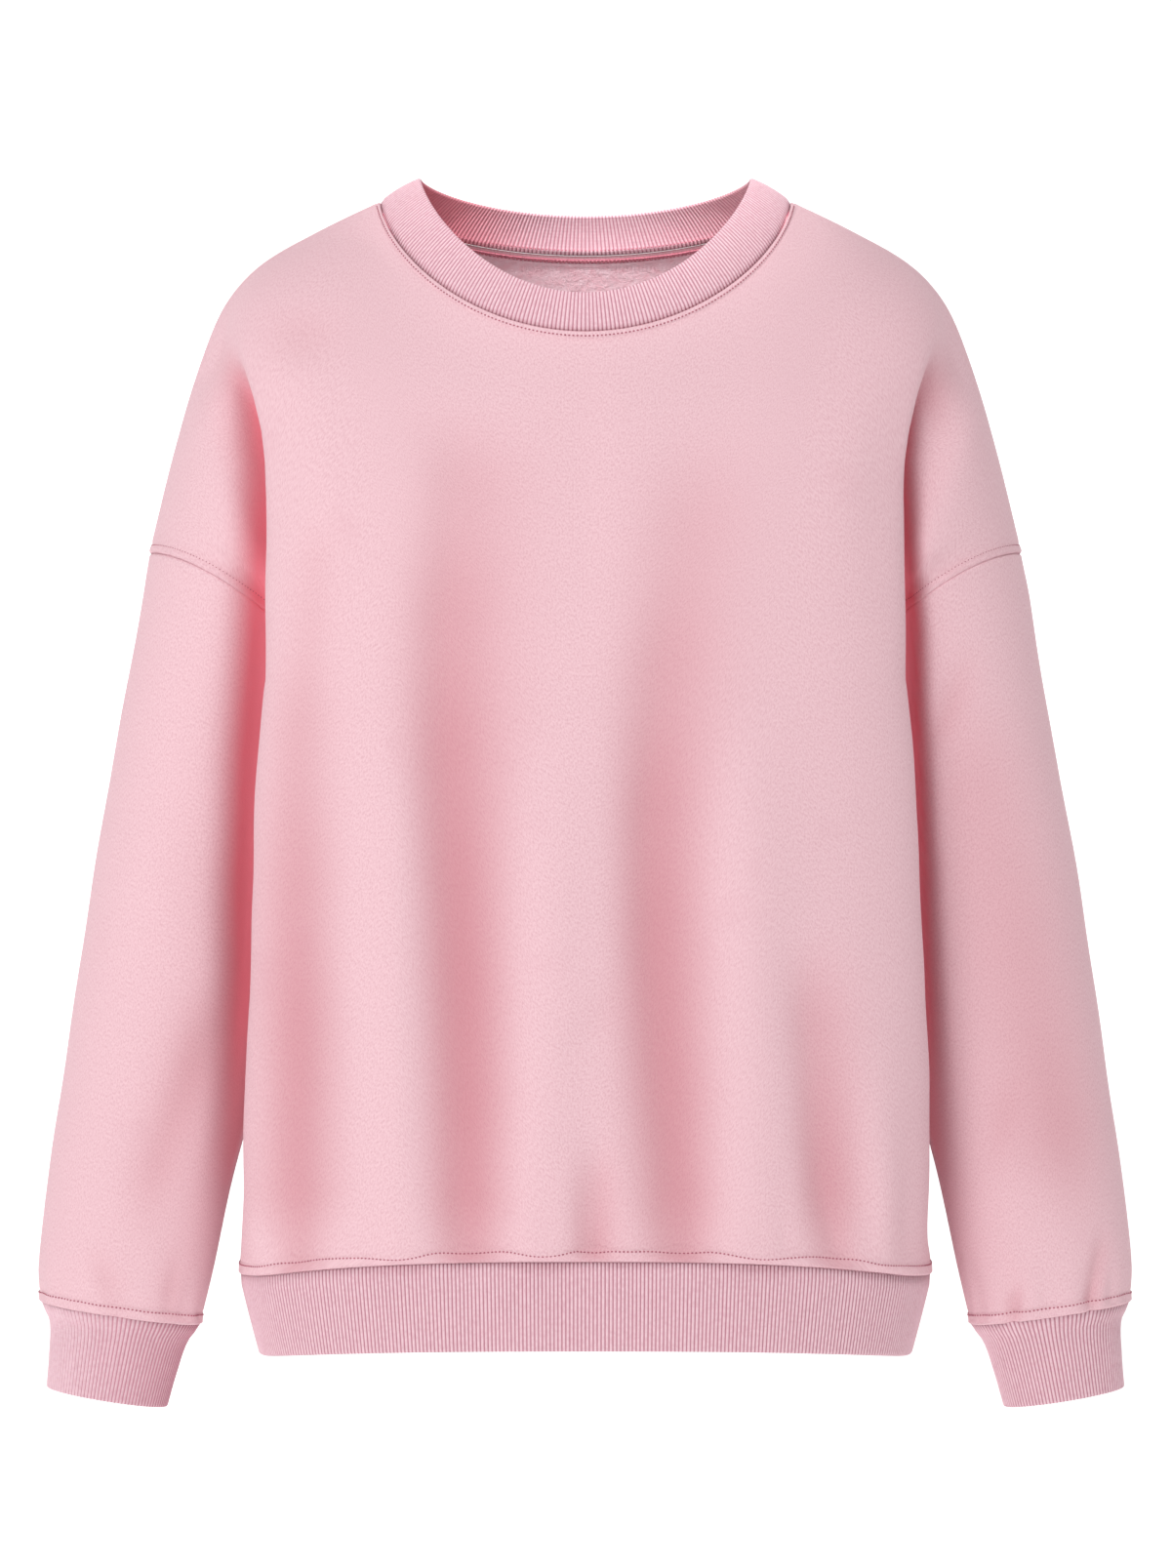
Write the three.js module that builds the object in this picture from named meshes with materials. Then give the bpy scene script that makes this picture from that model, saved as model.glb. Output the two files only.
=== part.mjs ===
// Oversized crewneck sweatshirt in brushed-back fleece, filled out as if worn and hollow inside.
// Millimetres, +Z up, front towards -Y, the wearer's left towards +X.
// The origin lies between the two neck points, where the cloth sits on the shoulders.
import * as THREE from "three";

// Cloth and seams
const FLEECE_WALL = 2.0;
const RIB_WALL = 2.8; // rib knit folded double
const SEAM_GAP = 0.3; // between two pieces sewn together
const SEAM_PLANE_Y = 10; // shoulder seams and side seams lie in this upright plane

const FLEECE_COLOR = 0xeec2cb;
const RIB_COLOR = 0xe6bbc5;

// Rib knit
const RIB_DEPTH = 0.55; // groove below ridge
const COLLAR_RIBS = 280;
const HEM_RIBS = 540;
const CUFF_RIBS = 100;

// Neck opening, along the seam that joins the collar
const NECK_HALF_WIDTH = 124;
const NECK_FRONT_DROP = 84;
const NECK_BACK_DROP = 28;
const NECK_FRONT_REACH = 95; // from the seam plane forward
const NECK_BACK_REACH = 62;
const NECK_ROUNDNESS = 1.3;

// Free edge of the collar
const COLLAR_HALF_WIDTH = 100;
const COLLAR_MID_Y = 12;
const COLLAR_SIDE_RISE = 14.5; // above the neck points
const COLLAR_FRONT_DROP = 74.5; // from the collar's highest points
const COLLAR_BACK_DROP = 18.5;
const COLLAR_FRONT_REACH = 84;
const COLLAR_BACK_REACH = 56;
const COLLAR_ROUNDNESS = 1.45;
const COLLAR_SWELL = 1.2; // how far its middle stands out

// Levels
const UNDERARM_Z = -290;
const HEM_SEAM_Z = -646;
const HEM_FRONT_RISE = 14; // the hem rides up at the centre front
const HEM_BOTTOM_Z = -694;
const HEM_BOTTOM_RISE = 9;
const HEM_BAND_INSET = 12; // the band draws in towards its free edge

// Upper edge of the body panels, from the neck point out over the shoulder and down the arm
const SHOULDER_LINE = [
  { x: 124, z: 0 },
  { x: 160, z: -17.5 },
  { x: 196, z: -38.5 },
  { x: 217, z: -62 },
  { x: 231, z: -94 },
  { x: 247, z: -148 },
  { x: 263, z: -213 },
];
const NECK_SHARE = 0.355; // share of the panel's upper edge that is neckline

// Armhole ring, outer end on the shoulder line, inner end under the arm
const ARMHOLE = { outX: 263, inX: 149, outZ: -213, inZ: -287, midY: SEAM_PLANE_Y, halfDepth: 72, bow: 1.6 };

// Torso sections below the underarm. edge is the widest half-width, side the half-width at the side
// seam, which the hanging sleeves press in; front and back are reaches from the seam plane.
const TORSO = [
  { z: -290, edge: 220, side: 144, front: 146, back: 112, square: 2.9 },
  { z: -350, edge: 224, side: 150, front: 150, back: 116, square: 2.9 },
  { z: -410, edge: 225, side: 160, front: 152, back: 118, square: 2.9 },
  { z: -470, edge: 226, side: 172, front: 152, back: 119, square: 2.9 },
  { z: -530, edge: 227, side: 185, front: 150, back: 119, square: 2.9 },
  { z: -590, edge: 226, side: 197.5, front: 145, back: 116, square: 2.8 },
  { z: -630, edge: 221, side: 206.5, front: 137, back: 111, square: 2.7 },
  { z: -646, edge: 217, side: 208.5, front: 132, back: 107, square: 2.7 },
];
const DENT_REACH = 72; // how far forward and back the pressed-in side spreads

// How each lengthwise line of a body panel leaves the upper edge and meets the underarm section:
// out is away from the seam plane, aside away from the middle, down is -Z, as Hermite tangents.
const DRAPE = [
  { at: 0, topOut: 95, topAside: 0, topDown: 205, endOut: 0, endDown: 205 },
  { at: 0.12, topOut: 125, topAside: 60, topDown: 205, endOut: 0, endDown: 230 },
  { at: 0.24, topOut: 190, topAside: 120, topDown: 190, endOut: 0, endDown: 280 },
  { at: 0.355, topOut: 275, topAside: 120, topDown: 150, endOut: 0, endDown: 330 },
  { at: 0.46, topOut: 290, topAside: 60, topDown: 110, endOut: 0, endDown: 340 },
  { at: 0.59, topOut: 300, topAside: 20, topDown: 85, endOut: 0, endDown: 340 },
  { at: 0.75, topOut: 290, topAside: 0, topDown: 40, endOut: -60, endDown: 250 },
  { at: 0.9, topOut: 288, topAside: 0, topDown: 10, endOut: -220, endDown: 80 },
  { at: 1, topOut: 288, topAside: 0, topDown: 0, endOut: -288, endDown: 0 },
];

// Crease between the torso and the hanging arm. at is the place across the panel, down the place
// from the upper edge to the underarm, tuck how far the cloth is drawn in.
const CREASE = [
  { down: 0, at: 0.66, tuck: 0 },
  { down: 0.2, at: 0.67, tuck: 6 },
  { down: 0.35, at: 0.69, tuck: 20 },
  { down: 0.5, at: 0.72, tuck: 28 },
  { down: 0.65, at: 0.76, tuck: 30 },
  { down: 0.8, at: 0.81, tuck: 26 },
  { down: 1, at: 0.9, tuck: 0 },
];
const CREASE_INNER_SPREAD = 0.035; // the crease is steep towards the middle and soft towards the arm
const CREASE_OUTER_SPREAD = 0.09;
const CREASE_FREE = { from: 0.88, to: 1 }; // across the panel; the armhole stays as it is
const CREASE_INWARD = 0.8; // share of the tuck towards the middle; the rest goes towards the seam plane
const CREASE_BACKWARD = 0.6;
const BACK_CREASE_SHARE = 0.7;

// Long soft folds of the torso: x at the top and bottom of each, positive depth is a trough
const FRONT_FOLDS = [
  { topZ: -150, endZ: -650, topX: -76, endX: -64, depth: 9, spread: 21 },
  { topZ: -180, endZ: -650, topX: 58, endX: 60, depth: 8, spread: 21 },
  { topZ: -380, endZ: -660, topX: -168, endX: -171, depth: 5, spread: 15 },
  { topZ: -460, endZ: -665, topX: 141, endX: 160, depth: 6, spread: 15 },
  { topZ: -560, endZ: -655, topX: 4, endX: 0, depth: 3, spread: 8 },
  { topZ: -300, endZ: -660, topX: -28, endX: -24, depth: -4, spread: 24 },
  { topZ: -280, endZ: -660, topX: 104, endX: 104, depth: -4, spread: 24 },
  { topZ: -400, endZ: -660, topX: -126, endX: -122, depth: -4, spread: 20 },
];
const BACK_FOLDS = [
  { topZ: -140, endZ: -660, topX: 66, endX: 78, depth: 8, spread: 22 },
  { topZ: -170, endZ: -660, topX: -62, endX: -70, depth: 9, spread: 22 },
  { topZ: -330, endZ: -660, topX: 6, endX: 2, depth: 5, spread: 18 },
  { topZ: -400, endZ: -660, topX: 148, endX: 152, depth: 5, spread: 16 },
  { topZ: -420, endZ: -660, topX: -150, endX: -146, depth: 5, spread: 16 },
];

// Sleeve sections from the armhole to the cuff seam. out and in are the ring's two ends seen from the
// front; midY and halfDepth place it front to back.
const SLEEVE = [
  { along: 0, outX: 263, outZ: -213, inX: 149, inZ: -287, midY: 10, halfDepth: 72, bow: 1.6 },
  { along: 0.06, outX: 267.5, outZ: -238, inX: 152.5, inZ: -306, midY: 11, halfDepth: 69, bow: 1.5 },
  { along: 0.16, outX: 275.5, outZ: -285, inX: 158, inZ: -346, midY: 13, halfDepth: 67, bow: 1.4 },
  { along: 0.3, outX: 286, outZ: -344, inX: 168, inZ: -402, midY: 15, halfDepth: 64.5, bow: 1.3 },
  { along: 0.44, outX: 296.5, outZ: -403, inX: 180.5, inZ: -456, midY: 15, halfDepth: 61.5, bow: 1.2 },
  { along: 0.58, outX: 306, outZ: -462, inX: 192, inZ: -508, midY: 11, halfDepth: 58, bow: 1.2 },
  { along: 0.72, outX: 314.5, outZ: -521, inX: 205, inZ: -560, midY: 5, halfDepth: 54, bow: 1.1 },
  { along: 0.86, outX: 322, outZ: -579, inX: 217, inZ: -610, midY: -2, halfDepth: 50, bow: 1.1 },
  { along: 0.96, outX: 328.5, outZ: -640, inX: 227, inZ: -658, midY: -7, halfDepth: 46, bow: 1 },
  { along: 1, outX: 328, outZ: -663, inX: 231, inZ: -677, midY: -8, halfDepth: 42, bow: 1 },
];
const SLEEVE_SQUARE = 2.15;

const CUFF = [
  { along: 0, outX: 328, outZ: -663.3, inX: 231, inZ: -677.3, midY: -8, halfDepth: 42, bow: 1 },
  { along: 0.2, outX: 322.5, outZ: -674, inX: 239, inZ: -687, midY: -8.5, halfDepth: 35, bow: 1 },
  { along: 0.6, outX: 322.5, outZ: -694, inX: 246, inZ: -707, midY: -10, halfDepth: 32.5, bow: 1 },
  { along: 1, outX: 324, outZ: -714.5, inX: 251.5, inZ: -726.5, midY: -11, halfDepth: 31, bow: 1 },
];

// Where one rule hands over to the next, as shares across or down a panel
const RING_RULE = { from: 0.6, to: 1 }; // the drape's lines give way to the armhole ring
const UNDERARM_RULE = { from: 0.93, to: 1 }; // and so does the torso section at the underarm
const UNDERARM_FADE = 0.03;
const FOLD_FREE = { from: 0.75, to: 0.95 }; // no long folds close to the side seams
const FOLD_RELEASE = { from: 0.75, to: 1 }; // the hem band pulls the folds out
const FOLD_RELEASED = 0.45;

// Grids
const NECK_STEPS = 7; // across half a panel, along the neck
const SHOULDER_STEPS = 8; // across half a panel, from the neck point to the armhole
const UPPER_STEPS = 10; // from the upper edge to the underarm
const LOWER_STEPS = 6; // from the underarm to the hem
const SLEEVE_STEPS = 2 * UPPER_STEPS; // around
const SLEEVE_ROWS = 10;
const CUFF_ROWS = 3;
const SECTION_SAMPLES = 120; // for measuring along a torso section
const TURN_STEP = 0.01; // for directions along a ring

const vec = (x, y, z) => new THREE.Vector3(x, y, z);
const smooth = (t) => {
  const c = Math.min(1, Math.max(0, t));
  return c * c * (3 - 2 * c);
};
const ramp = (span, at) => smooth((at - span.from) / (span.to - span.from));
const bell = (t) => Math.exp(-t * t);
const flatBell = (t) => Math.exp(-(Math.abs(t) ** 3));
const power = (value, exponent) => Math.sign(value) * Math.abs(value) ** exponent;

// A smooth value between the rows of a table: knot names the column that is walked along.
function between(rows, knot, column, at) {
  const last = rows.length - 1;
  const dir = Math.sign(rows[last][knot] - rows[0][knot]);
  let i = 0;
  while (i < last - 1 && (at - rows[i + 1][knot]) * dir > 0) i += 1;
  const slope = (k) => {
    const a = rows[Math.max(0, k - 1)];
    const b = rows[Math.min(last, k + 1)];
    return (b[column] - a[column]) / (b[knot] - a[knot]);
  };
  const [p, q] = [rows[i], rows[i + 1]];
  const span = q[knot] - p[knot];
  const t = Math.min(1, Math.max(0, (at - p[knot]) / span));
  return hermite(p[column], slope(i) * span, q[column], slope(i + 1) * span, t);
}

function hermite(p0, m0, p1, m1, t) {
  const [t2, t3] = [t * t, t * t * t];
  return (2 * t3 - 3 * t2 + 1) * p0 + (t3 - 2 * t2 + t) * m0 + (3 * t2 - 2 * t3) * p1 + (t3 - t2) * m1;
}

// Neck seam: turn 0 is the centre front, 90 degrees the neck point, 180 degrees the centre back.
function neckSeam(turn) {
  const forward = Math.cos(turn);
  const drop = forward > 0 ? NECK_FRONT_DROP : NECK_BACK_DROP;
  const reach = forward > 0 ? NECK_FRONT_REACH : NECK_BACK_REACH;
  return vec(
    NECK_HALF_WIDTH * Math.sin(turn),
    SEAM_PLANE_Y - reach * forward,
    -drop * Math.abs(forward) ** NECK_ROUNDNESS,
  );
}

// The turn on the neck seam at a place across a panel.
const neckTurn = (across, face) => (face > 0 ? across / NECK_SHARE : 2 - across / NECK_SHARE) * (Math.PI / 2);

// The shoulder line as rows with the length walked from the neck point.
const shoulderRows = SHOULDER_LINE.map((p) => ({ ...p, run: 0 }));
shoulderRows.forEach((p, i) => {
  const before = shoulderRows[i - 1];
  if (before) p.run = before.run + Math.hypot(p.x - before.x, p.z - before.z);
});
const SHOULDER_RUN = shoulderRows.at(-1).run;

function shoulderLine(share) {
  const run = share * SHOULDER_RUN;
  return vec(between(shoulderRows, "run", "x", run), SEAM_PLANE_Y, between(shoulderRows, "run", "z", run));
}

// Free edge of the collar, at the same turn as the neck seam below it.
function collarEdge(turn) {
  const forward = Math.cos(turn);
  const drop = forward > 0 ? COLLAR_FRONT_DROP : COLLAR_BACK_DROP;
  const reach = forward > 0 ? COLLAR_FRONT_REACH : COLLAR_BACK_REACH;
  return vec(
    COLLAR_HALF_WIDTH * Math.sin(turn),
    COLLAR_MID_Y - reach * forward,
    COLLAR_SIDE_RISE - drop * Math.abs(forward) ** COLLAR_ROUNDNESS,
  );
}

// Where the collar meets the body: the way up the collar, and the way the cloth faces.
function neckFrame(turn) {
  const up = collarEdge(turn).sub(neckSeam(turn)).normalize();
  const along = neckSeam(turn + TURN_STEP).sub(neckSeam(turn - TURN_STEP));
  return { up, facing: along.cross(up).normalize() };
}

// A ring round the arm: turn 0 at its outer end, 90 degrees in front, 180 degrees at its inner end.
function armRing(ring, turn, square = 2) {
  const inward = (1 - power(Math.cos(turn), 2 / square)) / 2;
  return vec(
    ring.outX + (ring.inX - ring.outX) * inward,
    ring.midY - ring.halfDepth * power(Math.sin(turn), 2 / square),
    ring.outZ + (ring.inZ - ring.outZ) * inward ** ring.bow,
  );
}

// Where the sleeve meets the body, turns from -180 to 180 degrees: the way towards the body, and the
// way each of the two walls faces. Under the arm they part.
function armholeFrame(turn) {
  const under = smooth((Math.abs(turn) - Math.PI / 2) / (Math.PI / 2));
  const facing = vec(Math.cos(turn) * (1 - under), -Math.sin(turn), -under).normalize();
  const along = armRing(ARMHOLE, turn + TURN_STEP).sub(armRing(ARMHOLE, turn - TURN_STEP));
  return {
    toBody: along.cross(facing).normalize(),
    bodyFacing: facing.clone().add(vec(under, 0, 0)).normalize(),
    sleeveFacing: facing.clone().add(vec(-under, 0, 0)).normalize(),
  };
}

// One quarter of a torso section: turn 0 at the centre, 90 degrees at the side seam.
function torsoQuarter(z, turn, face) {
  const edge = between(TORSO, "z", "edge", z);
  const side = between(TORSO, "z", "side", z);
  const reach = between(TORSO, "z", face > 0 ? "front" : "back", z);
  const square = between(TORSO, "z", "square", z);
  const out = reach * power(Math.cos(turn), 2 / square);
  const dent = (1 - side / edge) * flatBell(out / DENT_REACH);
  return vec(edge * power(Math.sin(turn), 2 / square) * (1 - dent), SEAM_PLANE_Y - face * out, z);
}

// Turns that cut a quarter section into equal lengths of cloth.
function evenTurn(z, share, face) {
  const lengths = [0];
  let before = torsoQuarter(z, 0, face);
  for (let i = 1; i <= SECTION_SAMPLES; i += 1) {
    const next = torsoQuarter(z, (i / SECTION_SAMPLES) * (Math.PI / 2), face);
    lengths.push(lengths[i - 1] + next.distanceTo(before));
    before = next;
  }
  const wanted = share * lengths[SECTION_SAMPLES];
  let i = 0;
  while (i < SECTION_SAMPLES - 1 && lengths[i + 1] < wanted) i += 1;
  const part = (wanted - lengths[i]) / (lengths[i + 1] - lengths[i]);
  return ((i + part) / SECTION_SAMPLES) * (Math.PI / 2);
}

const hemSeamZ = (turn, face) => HEM_SEAM_Z + (face > 0 ? HEM_FRONT_RISE * Math.cos(turn) ** 2 : 0);

// How far the long folds draw the cloth in at a place on the torso.
function foldDepth(folds, x, z) {
  let depth = 0;
  for (const fold of folds) {
    const down = (z - fold.topZ) / (fold.endZ - fold.topZ);
    if (down <= 0) continue;
    const middle = fold.topX + (fold.endX - fold.topX) * down;
    const grow = smooth(down * 2) * (1 - FOLD_RELEASED * ramp(FOLD_RELEASE, down));
    depth += fold.depth * grow * bell((x - middle) / fold.spread);
  }
  return depth;
}

// A point of a body panel's outer surface, on the +X half. across: 0 centre to 1 edge;
// down: 0 upper edge, 1 underarm, 2 hem seam. face: 1 front, -1 back.
function panelPoint(across, down, face) {
  if (down >= 1) {
    const turnHere = evenTurn(UNDERARM_Z, across, face);
    const endZ = hemSeamZ(turnHere, face);
    const z = UNDERARM_Z + (endZ - UNDERARM_Z) * (down - 1);
    const point = torsoQuarter(z, evenTurn(z, across, face), face);
    const atArmhole = ramp(UNDERARM_RULE, across) * bell((down - 1) / UNDERARM_FADE);
    point.lerp(armRing(ARMHOLE, Math.PI * face), atArmhole);
    return point;
  }
  const top = across < NECK_SHARE
    ? neckSeam(neckTurn(across, face))
    : shoulderLine((across - NECK_SHARE) / (1 - NECK_SHARE));
  const end = panelPoint(across, 1, face);
  const pull = (column) => between(DRAPE, "at", column, across);
  const topFacing = -face * pull("topOut");
  const endFacing = -face * pull("endOut");
  const point = vec(
    hermite(top.x, pull("topAside"), end.x, 0, down),
    hermite(top.y, topFacing, end.y, endFacing, down),
    hermite(top.z, -pull("topDown"), end.z, -pull("endDown"), down),
  );
  const ring = armRing(ARMHOLE, Math.PI * down * face);
  const onRing = hermiteRing(down, face);
  point.add(ring.sub(onRing).multiplyScalar(ramp(RING_RULE, across)));
  const tuck = between(CREASE, "down", "tuck", down) * (face > 0 ? 1 : BACK_CREASE_SHARE);
  const off = across - between(CREASE, "down", "at", down);
  const spread = off < 0 ? CREASE_INNER_SPREAD : CREASE_OUTER_SPREAD;
  const drawn = tuck * bell(off / spread) * (1 - ramp(CREASE_FREE, across));
  point.x -= drawn * CREASE_INWARD;
  point.y += face * drawn * CREASE_BACKWARD;
  return point;
}

// The plain Hermite line at the panel's edge, which the true armhole ring replaces.
function hermiteRing(down, face) {
  const top = armRing(ARMHOLE, 0);
  const end = armRing(ARMHOLE, Math.PI);
  const out = DRAPE.at(-1).topOut;
  return vec(
    hermite(top.x, 0, end.x, 0, down),
    hermite(top.y, -face * out, end.y, face * out, down),
    hermite(top.z, 0, end.z, 0, down),
  );
}

// Outward normals of a grid of points, from its own neighbours.
function gridNormals(grid, closed) {
  const rows = grid.length;
  const columns = grid[0].length;
  return grid.map((row, j) =>
    row.map((_, i) => {
      const left = closed ? (i + columns - 1) % columns : Math.max(0, i - 1);
      const right = closed ? (i + 1) % columns : Math.min(columns - 1, i + 1);
      const across = grid[j][right].clone().sub(grid[j][left]);
      const down = grid[Math.min(rows - 1, j + 1)][i].clone().sub(grid[Math.max(0, j - 1)][i]);
      return down.cross(across).normalize();
    }),
  );
}

const inward = (grid, normals, wall) =>
  grid.map((row, j) => row.map((point, i) => point.clone().addScaledVector(normals[j][i], -wall)));

// How far along an edge its kth point lies, where they are evenly spread.
const even = (edge, loop) => (k) => k / (edge.length - (loop ? 0 : 1));

// A closed wall from its outer grid and inner grid. Both run in rows from top to bottom, and
// left to right as seen from outside; a closed grid meets itself. A ribbed wall's outer grid has a
// ridge at each even column and a groove at each odd one, and innerShares gives how far round each
// column of its coarser inner grid lies.
function wallGeometry(outer, inner, closed, innerShares) {
  const positions = [];
  const faces = [];
  const place = (grid) =>
    grid.map((row) =>
      row.map((p) => {
        positions.push(p.x, p.y, p.z);
        return positions.length / 3 - 1;
      }),
    );
  const skin = (ids, flip) => {
    const columns = ids[0].length;
    for (let j = 0; j + 1 < ids.length; j += 1) {
      for (let i = 0; i < (closed ? columns : columns - 1); i += 1) {
        const k = (i + 1) % columns;
        const [a, b, c, d] = [ids[j][i], ids[j][k], ids[j + 1][k], ids[j + 1][i]];
        if (flip) faces.push(a, b, c, a, c, d);
        else faces.push(a, c, b, a, d, c);
      }
    }
  };
  // Joins two edges whose points may differ in number, in step with each other.
  const lace = (edgeA, edgeB, loop, shareA = even(edgeA, loop), shareB = even(edgeB, loop)) => {
    const [lengthA, lengthB] = [edgeA.length - (loop ? 0 : 1), edgeB.length - (loop ? 0 : 1)];
    let [a, b] = [0, 0];
    while (a < lengthA || b < lengthB) {
      const idA = edgeA[a % edgeA.length];
      const idB = edgeB[b % edgeB.length];
      if (b >= lengthB || (a < lengthA && shareA(a + 1) <= shareB(b + 1))) {
        faces.push(idA, edgeA[(a + 1) % edgeA.length], idB);
        a += 1;
      } else {
        faces.push(idA, edgeB[(b + 1) % edgeB.length], idB);
        b += 1;
      }
    }
  };
  // Closes each ridge's tip, from groove to groove, and returns the grooves, which are then laced.
  const tips = (ids, flip) => {
    for (let c = 0; c < ids.length; c += 2) {
      const [before, ridge, after] = [ids.at(c - 1), ids[c], ids[c + 1]];
      faces.push(...(flip ? [after, ridge, before] : [before, ridge, after]));
    }
    return ids.filter((_, c) => c % 2 === 1);
  };
  const outerIds = place(outer);
  const innerIds = place(inner);
  skin(outerIds, false);
  skin(innerIds, true);
  if (innerShares) {
    const grooveShare = (k) => (2 * k + 1) / outerIds[0].length;
    const innerShare = (k) => (k < innerShares.length ? innerShares[k] : 1);
    lace(tips(outerIds[0], false), innerIds[0], closed, grooveShare, innerShare);
    lace(innerIds.at(-1), tips(outerIds.at(-1), true), closed, innerShare, grooveShare);
  } else {
    lace(outerIds[0], innerIds[0], closed);
    lace(innerIds.at(-1), outerIds.at(-1), closed);
  }
  if (!closed) {
    const column = (ids, i) => ids.map((row) => row.at(i));
    lace(column(innerIds, 0), column(outerIds, 0), false);
    lace(column(outerIds, -1), column(innerIds, -1), false);
  }
  const geometry = new THREE.BufferGeometry();
  geometry.setAttribute("position", new THREE.Float32BufferAttribute(positions, 3));
  geometry.setIndex(faces);
  geometry.computeVertexNormals();
  return geometry;
}

// Places across half a body panel, finer along the neck.
const halfShares = [];
for (let i = 0; i < NECK_STEPS; i += 1) halfShares.push((NECK_SHARE * i) / NECK_STEPS);
for (let i = 0; i <= SHOULDER_STEPS; i += 1) halfShares.push(NECK_SHARE + ((1 - NECK_SHARE) * i) / SHOULDER_STEPS);

// A front or back panel: both halves, with its edges drawn back by half the seam gap.
function bodyPanel(face) {
  const folds = face > 0 ? FRONT_FOLDS : BACK_FOLDS;
  const half = SEAM_GAP / 2;
  const downs = [];
  for (let j = 0; j <= UPPER_STEPS; j += 1) downs.push(j / UPPER_STEPS);
  for (let j = 1; j <= LOWER_STEPS; j += 1) downs.push(1 + j / LOWER_STEPS);
  const shares = [...halfShares.slice(1).reverse().map((v) => -v), ...halfShares];
  const grid = downs.map((down) =>
    shares.map((share) => {
      const point = panelPoint(Math.abs(share), down, face);
      point.x *= Math.sign(share) * face;
      return point;
    }),
  );
  const flat = gridNormals(grid, false);
  const outer = grid.map((row, j) =>
    row.map((point, i) => {
      const fade = 1 - ramp(FOLD_FREE, Math.abs(shares[i]));
      return point.clone().addScaledVector(flat[j][i], -foldDepth(folds, point.x, point.z) * fade);
    }),
  );
  const normals = gridNormals(outer, false);
  shares.forEach((share, i) => {
    const across = Math.abs(share);
    const side = Math.sign(share) * face || 1;
    if (across < NECK_SHARE + 1e-6) {
      const { up, facing } = neckFrame(neckTurn(Math.min(across, NECK_SHARE), face));
      outer[0][i].add(vec(-up.x * side, -up.y, -up.z).multiplyScalar(half));
      normals[0][i] = vec(facing.x * side, facing.y, facing.z);
    }
    if (across > NECK_SHARE - 1e-6) {
      normals[0][i].setY(0).normalize();
      outer[0][i].y = SEAM_PLANE_Y - face * half;
    }
    if (across < 1) return;
    downs.forEach((down, j) => {
      if (down <= 1) {
        const { toBody, bodyFacing } = armholeFrame(Math.PI * down * face);
        outer[j][i].add(vec(toBody.x * side, toBody.y, toBody.z).multiplyScalar(half));
        normals[j][i] = vec(bodyFacing.x * side, bodyFacing.y, bodyFacing.z);
      }
      if (down === 0 || down >= 1) {
        normals[j][i].setY(0).normalize();
        outer[j][i].y = SEAM_PLANE_Y - face * half;
      }
    });
  });
  // The hem edge is upright and level with the band's.
  outer.at(-1).forEach((point, i) => {
    point.copy(grid.at(-1)[i]).setZ(grid.at(-1)[i].z + half);
    if (Math.abs(shares[i]) === 1) point.y = SEAM_PLANE_Y - face * half;
    normals.at(-1)[i].setZ(0).normalize();
  });
  return wallGeometry(outer, inward(outer, normals, FLEECE_WALL), false);
}

// The turn of a column of rings round the arm, from -180 to 180 degrees. Columns start at the outer end
// and run behind the arm first, which is left to right as seen from outside.
function armTurn(column, columns) {
  const turn = (-2 * Math.PI * column) / columns;
  return turn < -Math.PI ? turn + 2 * Math.PI : turn;
}

// Rings round the wearer's left arm, from a table of sections.
function ringRows(table, rows, columns, square) {
  const grid = [];
  for (let j = 0; j <= rows; j += 1) {
    const along = j / rows;
    const ring = {};
    for (const key of Object.keys(table[0])) ring[key] = between(table, "along", key, along);
    const row = [];
    for (let i = 0; i < columns; i += 1) row.push(armRing(ring, armTurn(i, columns), square(along)));
    grid.push(row);
  }
  return grid;
}

// The way each point of a flat ring faces, within the ring's own plane.
function flatFacings(row) {
  const count = row.length;
  const outward = row[0].clone().sub(row[count / 2]);
  const backward = row[count / 4].clone().sub(row[(3 * count) / 4]);
  const axis = outward.cross(backward);
  return row.map((_, i) => {
    const along = row[(i + 1) % count].clone().sub(row[(i + count - 1) % count]);
    return along.cross(axis).normalize();
  });
}

function sleeve() {
  const square = (along) => 2 + (SLEEVE_SQUARE - 2) * smooth(along * 5);
  const outer = ringRows(SLEEVE, SLEEVE_ROWS, SLEEVE_STEPS, square);
  const normals = gridNormals(outer, true);
  outer[0].forEach((point, i) => {
    const { toBody, sleeveFacing } = armholeFrame(armTurn(i, SLEEVE_STEPS));
    point.addScaledVector(toBody, -SEAM_GAP / 2);
    normals[0][i] = sleeveFacing;
  });
  normals[SLEEVE_ROWS] = flatFacings(outer[SLEEVE_ROWS]);
  return wallGeometry(outer, inward(outer, normals, FLEECE_WALL), true);
}

// The other arm's piece.
function mirrored(geometry) {
  const copy = geometry.clone().scale(-1, 1, 1);
  const corners = copy.index.array;
  for (let i = 0; i < corners.length; i += 3) [corners[i + 1], corners[i + 2]] = [corners[i + 2], corners[i + 1]];
  copy.computeVertexNormals();
  return copy;
}

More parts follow.
